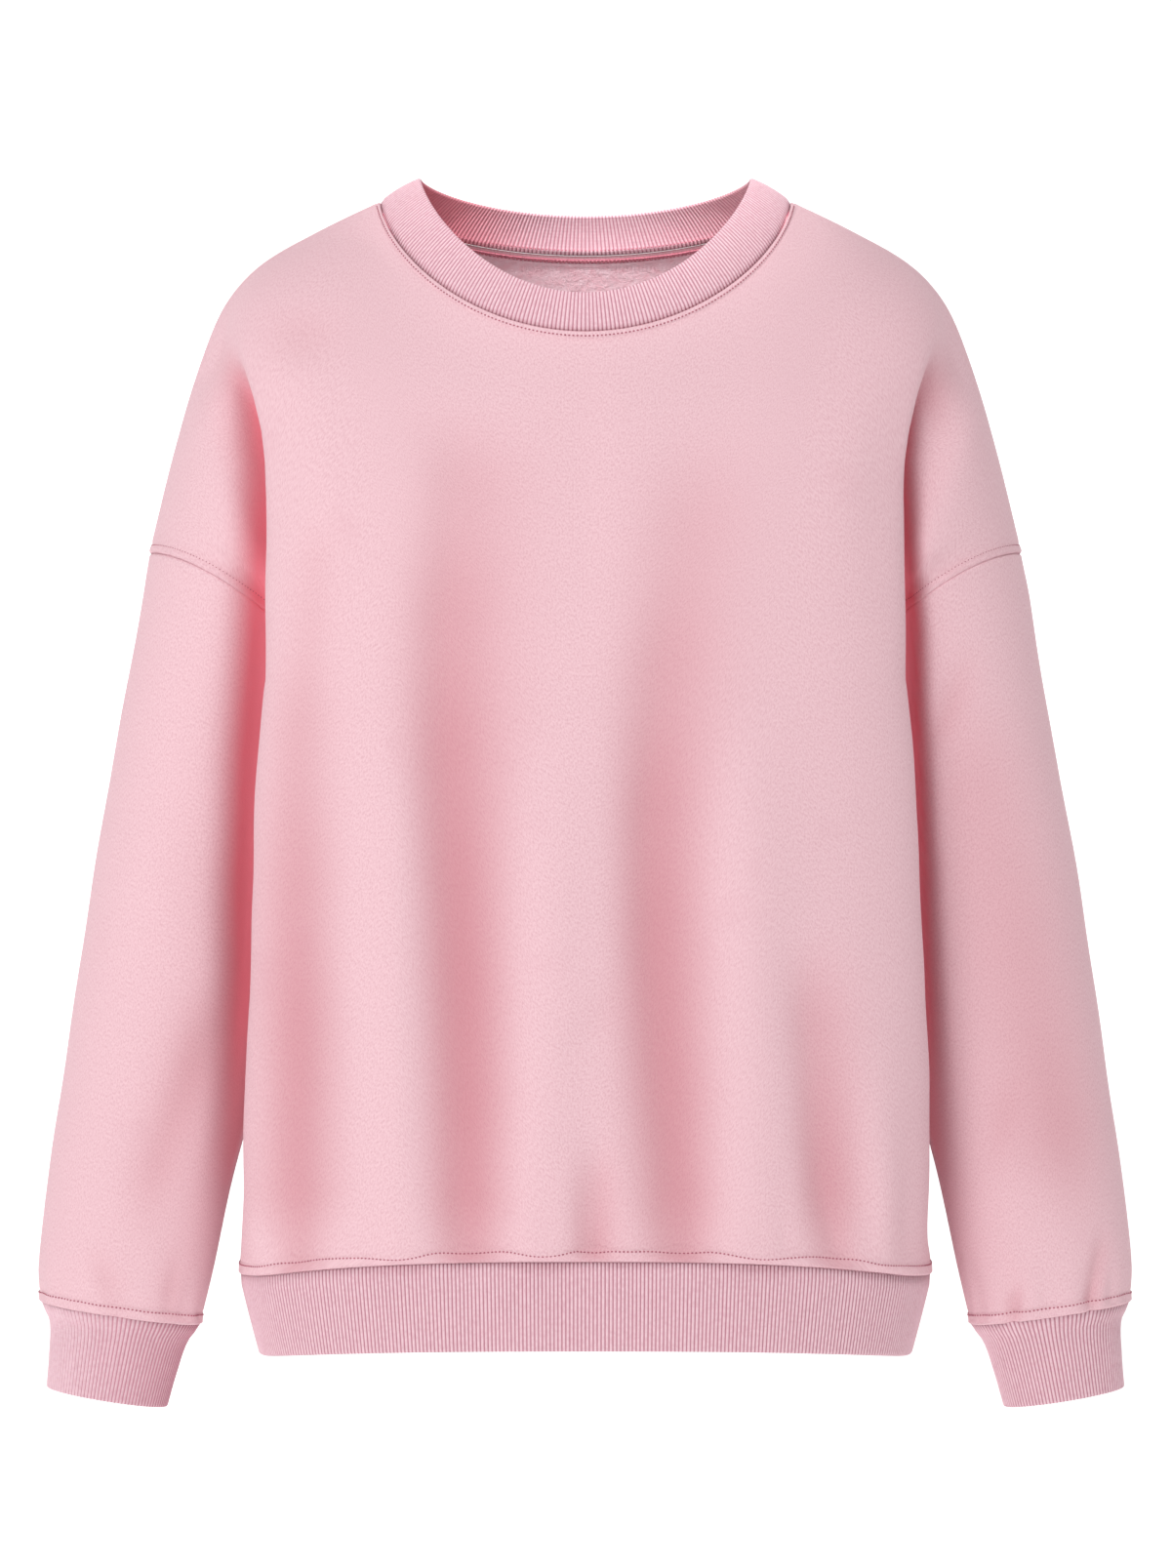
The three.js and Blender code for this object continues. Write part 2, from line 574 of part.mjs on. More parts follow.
// A rib strip round a ring of knots: rows of knots from top to bottom and the way each faces. Ridges
// and grooves are even along the middle row and lie on the chords between the knots.
function ribStrip(rows, facings, ribs) {
  const count = rows[0].length;
  const middle = rows[Math.floor(rows.length / 2)];
  const run = [0];
  for (let i = 0; i < count; i += 1) run.push(run[i] + middle[i].distanceTo(middle[(i + 1) % count]));
  const outer = rows.map((row, j) => {
    const points = [];
    let k = 0;
    for (let c = 0; c < 2 * ribs; c += 1) {
      const at = (run[count] * c) / (2 * ribs);
      while (run[k + 1] < at) k += 1;
      const part = (at - run[k]) / (run[k + 1] - run[k]);
      const next = (k + 1) % count;
      const facing = facings[j][k].clone().lerp(facings[j][next], part).normalize();
      points.push(row[k].clone().lerp(row[next], part).addScaledVector(facing, c % 2 ? -RIB_DEPTH : 0));
    }
    return points;
  });
  return wallGeometry(outer, inward(rows, facings, RIB_WALL), true, run.slice(0, -1).map((v) => v / run[count]));
}

// Knots round the body, from the front's centre to the wearer's left and on, matching both panels.
function roundBody(make) {
  const places = (face, side, shares) => shares.map((share) => make(share, face, side));
  const inside = halfShares.slice(1, -1);
  const whole = halfShares.slice(0, -1);
  return [
    ...places(1, 1, whole),
    ...places(1, 1, [1]),
    ...places(-1, 1, [...inside].reverse()),
    ...places(-1, 1, [0]),
    ...places(-1, -1, inside),
    ...places(1, -1, [1]),
    ...places(1, -1, [...inside].reverse()),
  ];
}

function collar() {
  const turns = [];
  for (let i = 0; i < 4 * NECK_STEPS; i += 1) turns.push((Math.PI * i) / (2 * NECK_STEPS));
  const alongs = [1, 0.5, 0];
  const rows = alongs.map((along) =>
    turns.map((turn) => {
      const { up, facing } = neckFrame(turn);
      const start = neckSeam(turn).addScaledVector(up, SEAM_GAP / 2);
      return start.lerp(collarEdge(turn), along).addScaledVector(facing, 4 * COLLAR_SWELL * along * (1 - along));
    }),
  );
  const facings = alongs.map(() => turns.map((turn) => neckFrame(turn).facing));
  return ribStrip(rows, facings, COLLAR_RIBS);
}

function hemBand() {
  const knots = roundBody((share, face, side) => {
    const point = panelPoint(share, 2, face);
    point.x *= side;
    const turn = evenTurn(HEM_SEAM_Z, share, face);
    return { point, rise: face > 0 ? HEM_BOTTOM_RISE * Math.cos(turn) ** 2 : 0 };
  });
  const facing = knots.map((_, i) => {
    const before = knots[(i + knots.length - 1) % knots.length].point;
    const after = knots[(i + 1) % knots.length].point;
    return vec(after.y - before.y, before.x - after.x, 0).normalize();
  });
  const rows = [0, 1].map((along) =>
    knots.map(({ point, rise }, i) => {
      const top = point.z - SEAM_GAP / 2;
      const place = vec(point.x, point.y, top + (HEM_BOTTOM_Z + rise - top) * along);
      return place.addScaledVector(facing[i], -HEM_BAND_INSET * along);
    }),
  );
  return ribStrip(rows, [facing, facing], HEM_RIBS);
}

function cuff() {
  const rows = ringRows(CUFF, CUFF_ROWS, SLEEVE_STEPS, () => 2);
  const facings = gridNormals(rows, true);
  facings[0] = flatFacings(rows[0]);
  facings[CUFF_ROWS] = flatFacings(rows[CUFF_ROWS]);
  return ribStrip(rows, facings, CUFF_RIBS);
}

const PIECES = {
  front: { geometry: () => bodyPanel(1), color: FLEECE_COLOR },
  back: { geometry: () => bodyPanel(-1), color: FLEECE_COLOR },
  sleeve_left: { geometry: () => sleeve(), color: FLEECE_COLOR },
  sleeve_right: { geometry: () => mirrored(sleeve()), color: FLEECE_COLOR },
  collar: { geometry: () => collar(), color: RIB_COLOR },
  hem_band: { geometry: () => hemBand(), color: RIB_COLOR },
  cuff_left: { geometry: () => cuff(), color: RIB_COLOR },
  cuff_right: { geometry: () => mirrored(cuff()), color: RIB_COLOR },
};

const sweatshirt = new THREE.Group();
for (const [name, { geometry, color }] of Object.entries(PIECES)) {
  const mesh = new THREE.Mesh(geometry(), new THREE.MeshStandardMaterial({ color, roughness: 0.95, metalness: 0 }));
  mesh.name = name;
  sweatshirt.add(mesh);
}

export default sweatshirt;
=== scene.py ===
import functools
import math

import bmesh
import bpy
import numpy as np
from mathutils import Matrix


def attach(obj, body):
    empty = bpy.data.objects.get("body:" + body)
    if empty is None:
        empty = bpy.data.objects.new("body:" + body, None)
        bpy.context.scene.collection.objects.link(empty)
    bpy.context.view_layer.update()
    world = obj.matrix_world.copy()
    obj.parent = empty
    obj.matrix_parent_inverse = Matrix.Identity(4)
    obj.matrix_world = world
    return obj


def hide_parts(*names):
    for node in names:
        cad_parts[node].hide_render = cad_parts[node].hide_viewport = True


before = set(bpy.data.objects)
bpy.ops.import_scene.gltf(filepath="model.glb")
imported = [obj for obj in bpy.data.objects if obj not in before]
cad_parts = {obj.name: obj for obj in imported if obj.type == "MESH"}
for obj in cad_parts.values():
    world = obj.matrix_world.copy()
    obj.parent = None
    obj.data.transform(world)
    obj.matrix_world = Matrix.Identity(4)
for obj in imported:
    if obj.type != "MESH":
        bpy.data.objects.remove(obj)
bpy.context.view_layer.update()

bl_info = {
    "name": "Crewneck Sweatshirt",
    "version": (1, 0, 0),
    "blender": (4, 5, 0),
    "location": "3D View > Sidebar > Sweatshirt",
    "description": "Builds an oversized crewneck sweatshirt in brushed-back fleece, piece by piece",
    "category": "Add Mesh",
}

MM = 0.001
FRONT, BACK = 1, -1
LEFT, RIGHT = 1, -1


# Tables with named columns, in millimetres. Z is up, the front faces -Y, the wearer's left is +X.
def table(columns, *rows):
    return {name: np.array(column, float) for name, column in zip(columns.split(), zip(*rows))}


def fold(*rows):
    """A soft fold as a path of places x, z with the fold's depth and half-width there. Negative depth is
    a ridge. A fifth value is its lean: above 0 the fold is steep at its left, below 0 at its right."""
    return table("x z depth spread lean", *((*row, 0)[:5] for row in rows))


SEAM_PLANE_Y = 10.0
UNDERARM_Z = -290.0
HEM_SEAM_Z = -646.0
HEM_FRONT_RISE = 14.0
HEM_BOTTOM_Z = -694.0
HEM_BOTTOM_RISE = 9.0
HEM_BAND_INSET = 12.0
HEM_BAND_HEIGHT = 50.0

NECK = {"half_width": 124.0, "front_drop": 84.0, "back_drop": 28.0, "front_reach": 95.0, "back_reach": 62.0}
NECK_ROUNDNESS = 1.3
COLLAR = {"half_width": 100.0, "front_drop": 74.5, "back_drop": 18.5, "front_reach": 84.0, "back_reach": 56.0}
COLLAR_ROUNDNESS = 1.45
COLLAR_MID_Y = 12.0
COLLAR_RISE = 14.5
COLLAR_SWELL = 1.2

COLLAR_RIBS = 280
HEM_RIBS = 472
CUFF_RIBS = 100
COLUMNS_PER_RIB = 4

SHOULDER_LINE = table(
    "x z", (124, 0), (160, -17.5), (196, -38.5), (217, -62), (231, -94), (247, -148), (263, -213)
)
# Share of a panel's half width that lies under the collar.
NECK_SHARE = 0.355

TORSO = table(
    "z edge side front back square",
    (-290, 220, 144, 146, 112, 2.9),
    (-350, 224, 150, 150, 116, 2.9),
    (-410, 225, 160, 152, 118, 2.9),
    (-470, 226, 172, 152, 119, 2.9),
    (-530, 227, 185, 150, 119, 2.9),
    (-590, 226, 197.5, 145, 116, 2.8),
    (-630, 221, 206.5, 137, 111, 2.7),
    (-646, 217, 208.5, 132, 107, 2.7),
)
DENT_REACH = 72.0

DRAPE = table(
    "at top_out top_aside top_down end_out end_down",
    (0, 95, 0, 205, 0, 205),
    (0.12, 125, 60, 205, 0, 230),
    (0.24, 190, 120, 190, 0, 280),
    (0.355, 275, 120, 150, 0, 330),
    (0.46, 290, 60, 110, 0, 340),
    (0.59, 300, 20, 85, 0, 340),
    (0.75, 290, 0, 40, -60, 250),
    (0.9, 288, 0, 10, -220, 80),
    (1, 288, 0, 0, -288, 0),
)

ARM_CREASE = table(
    "down at tuck",
    *((0, 0.66, 0), (0.2, 0.67, 6), (0.35, 0.69, 20), (0.5, 0.72, 28)),
    *((0.65, 0.76, 30), (0.8, 0.81, 26), (1, 0.9, 0)),
)
ARM_CREASE_SPREAD = {"inner": 0.035, "outer": 0.09}
ARM_CREASE_INWARD = 0.8
ARM_CREASE_BACKWARD = 0.6
BACK_CREASE_SHARE = 0.7

# Rings round the arm from the armhole seam to the cuff seam, and round the cuff to its edge.
RING_COLUMNS = "along out_x out_z in_x in_z mid_y half_depth bow"
SLEEVE = table(
    RING_COLUMNS,
    (0, 263, -213, 149, -287, 10, 72, 1.6),
    (0.06, 267.5, -238, 152.5, -306, 11, 69, 1.5),
    (0.16, 275.5, -285, 158, -346, 13, 67, 1.4),
    (0.3, 286, -344, 168, -402, 15, 64.5, 1.3),
    (0.44, 296.5, -403, 180.5, -456, 15, 61.5, 1.2),
    (0.58, 306, -462, 192, -508, 11, 58, 1.2),
    (0.72, 314.5, -521, 205, -560, 5, 54, 1.1),
    (0.86, 322, -579, 217, -610, -2, 50, 1.1),
    (0.96, 328.5, -640, 227, -658, -7, 46, 1),
    (1, 328, -663, 231, -677, -8, 42, 1),
)
CUFF = table(
    RING_COLUMNS,
    (0, 328, -663.3, 231, -677.3, -8, 42, 1),
    (0.2, 322.5, -674, 239, -687, -8.5, 35, 1),
    (0.6, 322.5, -694, 246, -707, -10, 32.5, 1),
    (1, 324, -714.5, 251.5, -726.5, -11, 31, 1),
)
ARMHOLE = {name: column[0] for name, column in SLEEVE.items()}
SLEEVE_SQUARE = 2.15

# Folds of the torso as seen from in front.
FRONT_FOLDS = (
    fold(
        *((-66, -120, 0, 28, 0.1), (-74, -180, 4, 28, 0.3), (-82, -260, 7.5, 28, 0.3)),
        *((-83, -345, 10.5, 27, 0.3), (-80, -410, 12, 26, 0.3), (-76, -470, 12.5, 26, 0.25)),
        *((-73, -530, 12, 25, 0.2), (-71, -590, 11, 23, 0.1), (-70, -636, 7, 19, 0.1)),
    ),
    fold(
        *((76, -130, 0, 28, 0), (60, -210, 3.5, 28, 0.1), (46, -290, 6.5, 27, 0.2), (39, -370, 9.5, 26, 0.3)),
        *((40, -450, 11, 25, 0.3), (46, -520, 11, 24, 0.2), (53, -590, 10.5, 21, 0.1), (57, -636, 7, 17)),
    ),
    fold(
        *((-156, -190, 0, 12), (-161, -225, 1.8, 12), (-163, -262, 2.4, 13), (-172, -325, 5, 17, 0.2)),
        *((-175, -420, 8, 22, 0.2), (-177, -500, 10.5, 25, 0.2), (-178, -590, 10, 24, 0.2)),
        (-173, -634, 6, 15, 0.1),
    ),
    fold((122, -420, 0, 18), (133, -500, 6, 19, 0.2), (142, -590, 9, 18, 0.2), (149, -634, 5, 13)),
    fold((4, -560, 0, 8), (2, -600, 3.4, 8), (0, -638, 3, 8)),
    fold((26, -456, 0, 9), (8, -488, 1.6, 10), (-12, -526, 0, 9)),
    fold((-170, -60, 0, 20), (-169, -85, 1.6, 20), (-166, -116, 0, 20)),
    fold((-106, -300, 0, 24), (-112, -450, -5, 23), (-108, -634, -4, 20)),
    fold((-18, -300, 0, 26), (-20, -450, -5, 24), (-26, -634, -4, 18)),
    fold((94, -290, 0, 26), (97, -430, -5, 24), (102, -634, -4, 20)),
    fold((172, -480, 0, 14), (174, -590, -3, 13), (174, -636, -2, 12)),
    fold((-190, -420, 0, 12), (-191, -540, -2.5, 12), (-189, -636, -2, 11)),
    fold((4, -545, 0, 9), (7, -590, 3, 10), (7, -625, 5, 9), (6, -638, 3, 8)),
)
BACK_FOLDS = (
    fold(
        *((58, -110, 0, 26), (66, -200, 3.5, 24, -0.1), (72, -330, 7, 22, -0.2)),
        *((70, -450, 8, 21, -0.3), (76, -560, 7, 19, -0.2), (80, -636, 3, 15)),
    ),
    fold(
        *((-50, -140, 0, 26), (-60, -260, 5, 23), (-63, -400, 8, 21, 0.2), (-70, -520, 8, 20, 0.2)),
        (-68, -636, 3, 15),
    ),
    fold((10, -300, 0, 20), (6, -430, 3.5, 19, 0.2), (0, -560, 4.5, 17, 0.2), (2, -636, 2.5, 13)),
    fold((146, -360, 0, 16), (149, -500, 3.5, 15, 0.1), (151, -634, 2.5, 12)),
    fold((-150, -400, 0, 16), (-149, -520, 4, 15, 0.1), (-145, -634, 2.5, 12)),
    fold((-30, -60, 0, 14), (0, -72, 1, 13), (34, -62, 0, 14)),
    fold((34, -340, 0, 24), (36, -480, -3, 22), (38, -634, -2.5, 18)),
    fold((-30, -360, 0, 24), (-32, -500, -3, 22), (-34, -634, -2.5, 18)),
)
# A shallow dent of the hem band, its second value measured down from the hem seam.
HEM_DENT = fold((-90, 4, 0, 12), (-76, 10, 1, 12), (-62, 30, 0.6, 12), (-66, 46, 0, 10))
HEM_DENT_DEPTH = 1.6

# The arm's cloth dives behind the torso's bulging edge: its path as seen from in front, for each arm on
# its own side. Depth is straight back, and lean keeps the outer side of the dip steep.
ARM_GAPS = {
    LEFT: fold(
        *((206, -72, 0, 12, -0.3), (198, -88, 9, 11, -0.35), (189, -112, 15, 12, -0.4)),
        *((185, -160, 18, 13, -0.4), (188, -210, 20, 13, -0.4), (192, -262, 21, 13, -0.4)),
        *((194, -310, 21, 12, -0.4), (197, -360, 20, 12, -0.4), (203, -468, 16, 12, -0.4)),
        *((208, -560, 10, 12, -0.4), (212, -625, 0, 12, -0.3)),
    ),
    RIGHT: fold(
        *((210, -70, 0, 13), (202, -86, 8, 13), (193, -110, 13, 16, -0.1), (187, -160, 15, 19, -0.15)),
        *((188, -210, 17, 20, -0.15), (190, -262, 19, 20, -0.15), (195, -330, 20, 20, -0.15)),
        *((200, -400, 19, 19, -0.2), (205, -480, 15, 17, -0.3), (210, -570, 10, 15, -0.3)),
        (213, -630, 0, 14, -0.3),
    ),
}
# The torso's edge stands further in beside the upper arm than the plain form.
ARM_EDGE_IN = {"most": 16.0, "z": -152.0, "reach": 68.0}

# Creases of the sleeves: the angle in degrees from the outer side, positive in front, the share of the
# sleeve's length, then depth and half-width.
SLEEVE_CREASES = {
    LEFT: (
        ((150, 0.01, 0.5, 8), (128, 0.08, 2.4, 9), (108, 0.2, 0, 10)),
        ((96, 0.66, 0, 10), (104, 0.74, 1.6, 10), (120, 0.84, 0, 10)),
        ((44, 0.91, 0, 7), (58, 0.955, 3.4, 6), (63, 0.985, 4.2, 5), (64, 1, 2, 4)),
        ((108, 0.945, 0, 5), (117, 0.975, 3, 5), (120, 1, 2.4, 4)),
        ((96, 0.93, 0, 10), (104, 0.965, -2.2, 9), (106, 0.99, 0, 8)),
        ((70, 0.08, 0, 12), (92, 0.16, 2, 9), (110, 0.22, 0, 9)),
        ((-70, 0.4, 0, 14), (-95, 0.5, 3, 13), (-125, 0.56, 0, 13)),
        ((-60, 0.78, 0, 12), (-90, 0.85, 2.6, 12), (-120, 0.9, 0, 12)),
        ((90, 0.1, 0, 26), (80, 0.3, 2.6, 30), (74, 0.55, 3.4, 32), (70, 0.78, 4.4, 30), (66, 0.95, 0, 20)),
    ),
    RIGHT: (
        ((118, 0.5, 0, 15), (112, 0.66, 3.4, 15), (104, 0.8, 3, 14), (98, 0.93, 0, 13)),
        ((152, 0.02, 0.5, 8), (130, 0.1, 2, 9), (112, 0.2, 0, 10)),
        ((70, 0.92, 0, 8), (84, 0.96, 1.8, 7), (90, 1, 0.8, 6)),
        ((126, 0.9, 0, 8), (128, 0.96, 1.8, 8), (130, 1, 0.8, 6)),
        ((-64, 0.36, 0, 14), (-92, 0.46, 3, 13), (-122, 0.54, 0, 13)),
        ((-66, 0.8, 0, 12), (-94, 0.88, 2.4, 12), (-118, 0.93, 0, 12)),
        ((62, 0.26, 0, 22), (70, 0.4, -2, 22), (76, 0.56, 0, 22)),
    ),
}
# The creases are placed on a sleeve as if it were an even tube of this radius and length.
SLEEVE_RADIUS = 58.0
SLEEVE_LENGTH = 470.0

# Swells and dips of the cloth beside its seams.
STITCH_DIP = 0.5
SEAM_DIP = 1.2
PLAIN_SEAM_DIP = 0.8
# Depths at which painted shade on the cloth's colour reaches full strength: measured against the cloth
# around, placed as a fold, and in the gap beside the torso.
MEASURED_HOLLOW = 9.0
LEAST_HOLLOW = 0.6
PLACED_HOLLOW = 13.0
GAP_HOLLOW = 15.0
# How much of the painted gap shade is left inside the collar on the side that faces the light.
LIT_SIDE_SHARE = 0.35

# Sewing inside the neck: height of the covered row, and size and spacing of the overlock's loops.
COVERED_ROW = 3.4
LOOPER_RADIUS = 0.45
LOOP_PITCH = 2.4
POINTS_PER_LOOP = 8


# Arithmetic of smooth forms
def smooth(t):
    c = np.clip(t, 0, 1)
    return c * c * (3 - 2 * c)


def ramp(start, end, at):
    return smooth((at - start) / (end - start))


def bell(t):
    return np.exp(-np.square(t))


def flat_bell(t):
    return np.exp(-np.abs(t) ** 3)


def power(value, exponent):
    return np.sign(value) * np.abs(value) ** exponent


def hermite(p0, m0, p1, m1, t):
    t2, t3 = t * t, t * t * t
    return (2 * t3 - 3 * t2 + 1) * p0 + (t3 - 2 * t2 + t) * m0 + (3 * t2 - 2 * t3) * p1 + (t3 - t2) * m1


def between(rows, knot, column, at):
    """A smooth value between the rows of a table, walking along its column knot."""
    x, y = rows[knot], rows[column]
    slope = np.empty_like(y)
    slope[1:-1] = (y[2:] - y[:-2]) / (x[2:] - x[:-2])
    slope[0] = (y[1] - y[0]) / (x[1] - x[0])
    slope[-1] = (y[-1] - y[-2]) / (x[-1] - x[-2])
    way = 1 if x[-1] > x[0] else -1
    i = np.clip(np.searchsorted(way * x, way * np.asarray(at, float)) - 1, 0, len(x) - 2)
    span = x[i + 1] - x[i]
    t = np.clip((at - x[i]) / span, 0, 1)
    return hermite(y[i], slope[i] * span, y[i + 1], slope[i + 1] * span, t)


def points(x, y, z):
    return np.stack(np.broadcast_arrays(x, y, z), axis=-1).astype(float)


def unit(vectors):
    return vectors / np.maximum(np.linalg.norm(vectors, axis=-1, keepdims=True), 1e-9)


def walked(grid, axis):
    """Length walked along an axis of a grid of points, from its start."""
    steps = np.linalg.norm(np.diff(grid, axis=axis), axis=-1)
    return np.concatenate([np.zeros_like(np.take(steps, [0], axis)), np.cumsum(steps, axis=axis)], axis=axis)


def grid_normals(grid, closed=False):
    """Outward normals of rows that run down and columns that run to the right as seen from outside."""
    if closed:
        across = np.roll(grid, -1, axis=1) - np.roll(grid, 1, axis=1)
    else:
        across = np.gradient(grid, axis=1)
    return unit(np.cross(np.gradient(grid, axis=0), across))


# Forms of the garment
def ring_line(sizes, turn, mid_y, rise, roundness):
    forward = np.cos(turn)
    drop = np.where(forward > 0, sizes["front_drop"], sizes["back_drop"])
    reach = np.where(forward > 0, sizes["front_reach"], sizes["back_reach"])
    return points(
        sizes["half_width"] * np.sin(turn),
        mid_y - reach * forward,
        rise - drop * np.abs(forward) ** roundness,
    )


def neck_seam(turn):
    """The seam under the collar: turn 0 is the centre front, a quarter turn the wearer's left."""
    return ring_line(NECK, turn, SEAM_PLANE_Y, 0, NECK_ROUNDNESS)


def collar_edge(turn):
    return ring_line(COLLAR, turn, COLLAR_MID_Y, COLLAR_RISE, COLLAR_ROUNDNESS)


def neck_turn(across, face):
    share = across / NECK_SHARE
    return (share if face == FRONT else 2 - share) * math.pi / 2


def shoulder_line(share):
    run = np.concatenate([[0], np.cumsum(np.hypot(np.diff(SHOULDER_LINE["x"]), np.diff(SHOULDER_LINE["z"])))])
    rows = dict(SHOULDER_LINE, run=run)
    at = np.clip(share, 0, 1) * run[-1]
    return points(between(rows, "run", "x", at), SEAM_PLANE_Y, between(rows, "run", "z", at))


def arm_ring(ring, turn, square=2.0):
    """A ring round the arm: turn 0 at its outer end, a quarter turn in front, half a turn inside."""
    inward = (1 - power(np.cos(turn), 2 / square)) / 2
    return points(
        ring["out_x"] + (ring["in_x"] - ring["out_x"]) * inward,
        ring["mid_y"] - ring["half_depth"] * power(np.sin(turn), 2 / square),
        ring["out_z"] + (ring["in_z"] - ring["out_z"]) * np.maximum(inward, 0) ** ring["bow"],
    )


def torso_quarter(z, turn, face):
    """A quarter of a torso section: turn 0 at the centre, a quarter turn at the side seam."""
    edge, side, square = (between(TORSO, "z", name, z) for name in ("edge", "side", "square"))
    reach = between(TORSO, "z", "front" if face == FRONT else "back", z)
    out = reach * power(np.cos(turn), 2 / square)
    dent = (1 - side / edge) * flat_bell(out / DENT_REACH)
    return points(edge * power(np.sin(turn), 2 / square) * (1 - dent), SEAM_PLANE_Y - face * out, z)


def even_turn(z, share, face, samples=120):
    """Turns that cut a quarter section into equal lengths of cloth."""
    z, share = np.broadcast_arrays(np.asarray(z, float), share)
    turns = np.linspace(0, math.pi / 2, samples + 1)
    run = walked(torso_quarter(z[..., None], turns, face), z.ndim)
    wanted = share * run[..., -1]
    i = np.clip((run < wanted[..., None]).sum(-1) - 1, 0, samples - 1)
    low = np.take_along_axis(run, i[..., None], -1)[..., 0]
    high = np.take_along_axis(run, i[..., None] + 1, -1)[..., 0]
    return (i + (wanted - low) / (high - low)) * math.pi / 2 / samples


def lower_points(across, down, face):
    """Torso below the underarm: down 1 is the underarm, 2 the hem seam."""
    rise = HEM_FRONT_RISE * np.cos(even_turn(UNDERARM_Z, across, face)) ** 2 if face == FRONT else 0
    z = UNDERARM_Z + (HEM_SEAM_Z + rise - UNDERARM_Z) * (down - 1)
    place = torso_quarter(z, even_turn(z, across, face), face)
    blend = ramp(0.93, 1, across) * bell((down - 1) / 0.03)
    return place + (arm_ring(ARMHOLE, math.pi * face) - place) * blend[..., None]


def upper_points(across, down, face):
    """Torso from the neck and shoulder seams, down 0, to the underarm, down 1."""
    top = np.where(
        (across < NECK_SHARE)[..., None],
        neck_seam(neck_turn(np.minimum(across, NECK_SHARE), face)),
        shoulder_line((across - NECK_SHARE) / (1 - NECK_SHARE)),
    )
    end = lower_points(across, np.ones_like(across), face)
    pull = {name: between(DRAPE, "at", name, across) for name in DRAPE if name != "at"}
    place = points(
        hermite(top[..., 0], pull["top_aside"], end[..., 0], 0, down),
        hermite(top[..., 1], -face * pull["top_out"], end[..., 1], -face * pull["end_out"], down),
        hermite(top[..., 2], -pull["top_down"], end[..., 2], -pull["end_down"], down),
    )
    outer_end, inner_end = arm_ring(ARMHOLE, 0), arm_ring(ARMHOLE, math.pi)
    lean = DRAPE["top_out"][-1]
    plain = points(
        hermite(outer_end[0], 0, inner_end[0], 0, down),
        hermite(outer_end[1], -face * lean, inner_end[1], face * lean, down),
        hermite(outer_end[2], 0, inner_end[2], 0, down),
    )
    place += (arm_ring(ARMHOLE, math.pi * down * face) - plain) * ramp(0.6, 1, across)[..., None]
    tuck = between(ARM_CREASE, "down", "tuck", down) * (1 if face == FRONT else BACK_CREASE_SHARE)
    off = across - between(ARM_CREASE, "down", "at", down)
    spread = np.where(off < 0, ARM_CREASE_SPREAD["inner"], ARM_CREASE_SPREAD["outer"])
    drawn = tuck * bell(off / spread) * (1 - ramp(0.88, 1, across))
    place[..., 0] -= drawn * ARM_CREASE_INWARD
    place[..., 1] += face * drawn * ARM_CREASE_BACKWARD
    return place


def crease_depth(x, z, path):
    """Depth of a fold at places x, z: the nearest point of its path gives depth, half-width and lean."""
    best = np.full(x.shape, np.inf)
    depth = np.zeros(x.shape)
    knots = np.stack(list(path.values()), axis=-1)
    for a, b in zip(knots[:-1], knots[1:]):
        way = b[:2] - a[:2]
        t = np.clip(((x - a[0]) * way[0] + (z - a[1]) * way[1]) / (way @ way), 0, 1)
        aside, beyond = x - a[0] - t * way[0], z - a[1] - t * way[1]
        gap = np.hypot(aside, beyond)
        here, spread, lean = (a[k] + (b[k] - a[k]) * smooth(t) for k in (2, 3, 4))
        spread = spread * (1 + lean * np.tanh(aside / 4))
        nearer = gap < best
        depth = np.where(nearer, here * bell(gap / spread), depth)
        best = np.where(nearer, gap, best)
    return depth


def undulation(x, z, seed):
    """Slight unevenness of hanging cloth, in millimetres, from a few long waves."""
    rng = np.random.default_rng(seed)
    total = np.zeros(np.broadcast(x, z).shape)
    for length in (210.0, 140.0, 95.0, 64.0):
        angle, phase = rng.uniform(0, math.pi), rng.uniform(0, 2 * math.pi)
        along = x * math.cos(angle) + z * math.sin(angle)
        total += length / 400 * np.sin(2 * math.pi * along / length + phase)
    return total


def seam_roll(distance, width, height):
    """Profile beside a seam: the cloth dips into the seam, lies flat and raised over the allowance and
    is held down again by the topstitch at width."""
    flat = ramp(0.1, 1.5, distance) * (1 - ramp(width - 1.2, width + 0.3, distance))
    return height * flat - STITCH_DIP * bell((distance - width) / 0.9) - SEAM_DIP * bell(distance / 0.6)


def softened(grid, weight, axis, passes, closed=False):
    """Draws each point of a grid towards its neighbours along an axis, as far as weight lets it."""
    for _ in range(passes):
        before, after = np.roll(grid, 1, axis), np.roll(grid, -1, axis)
        if not closed:
            ends = [slice(None)] * grid.ndim
            ends[axis] = 0
            before[tuple(ends)] = grid[tuple(ends)]
            ends[axis] = -1
            after[tuple(ends)] = grid[tuple(ends)]
        grid = grid + ((before + after) / 2 - grid) * weight / 2
    return grid


def hollows(grid, normals, folds, gap, closed=False):
    """How deep each point lies next to the cloth around it or in a placed fold, and how deep in the gap
    beside the torso, both from 0 to 1: the strengths of the painted fold shade and the painted gap shade."""
    around = softened(softened(grid, 1.0, 0, 30), 1.0, 1, 130, closed)
    measured = (((around - grid) * normals).sum(axis=-1) - LEAST_HOLLOW) / MEASURED_HOLLOW
    deep = np.clip(np.maximum(measured, folds / PLACED_HOLLOW), 0, 1)
    deep = softened(deep**0.9, 1.0, 1, 4, closed)
    # The painted gap shade takes over from the painted fold shade where the gap is tight.
    tight = np.clip(gap / GAP_HOLLOW, 0, 1) ** 1.6
    return np.stack([deep * (1 - tight), tight], axis=-1)


# Grids of the visible cloth
PANEL_HALF_COLUMNS = 90
UPPER_ROWS = 110
LOWER_ROWS = 96
SLEEVE_COLUMNS = 132
SLEEVE_ROWS = 168
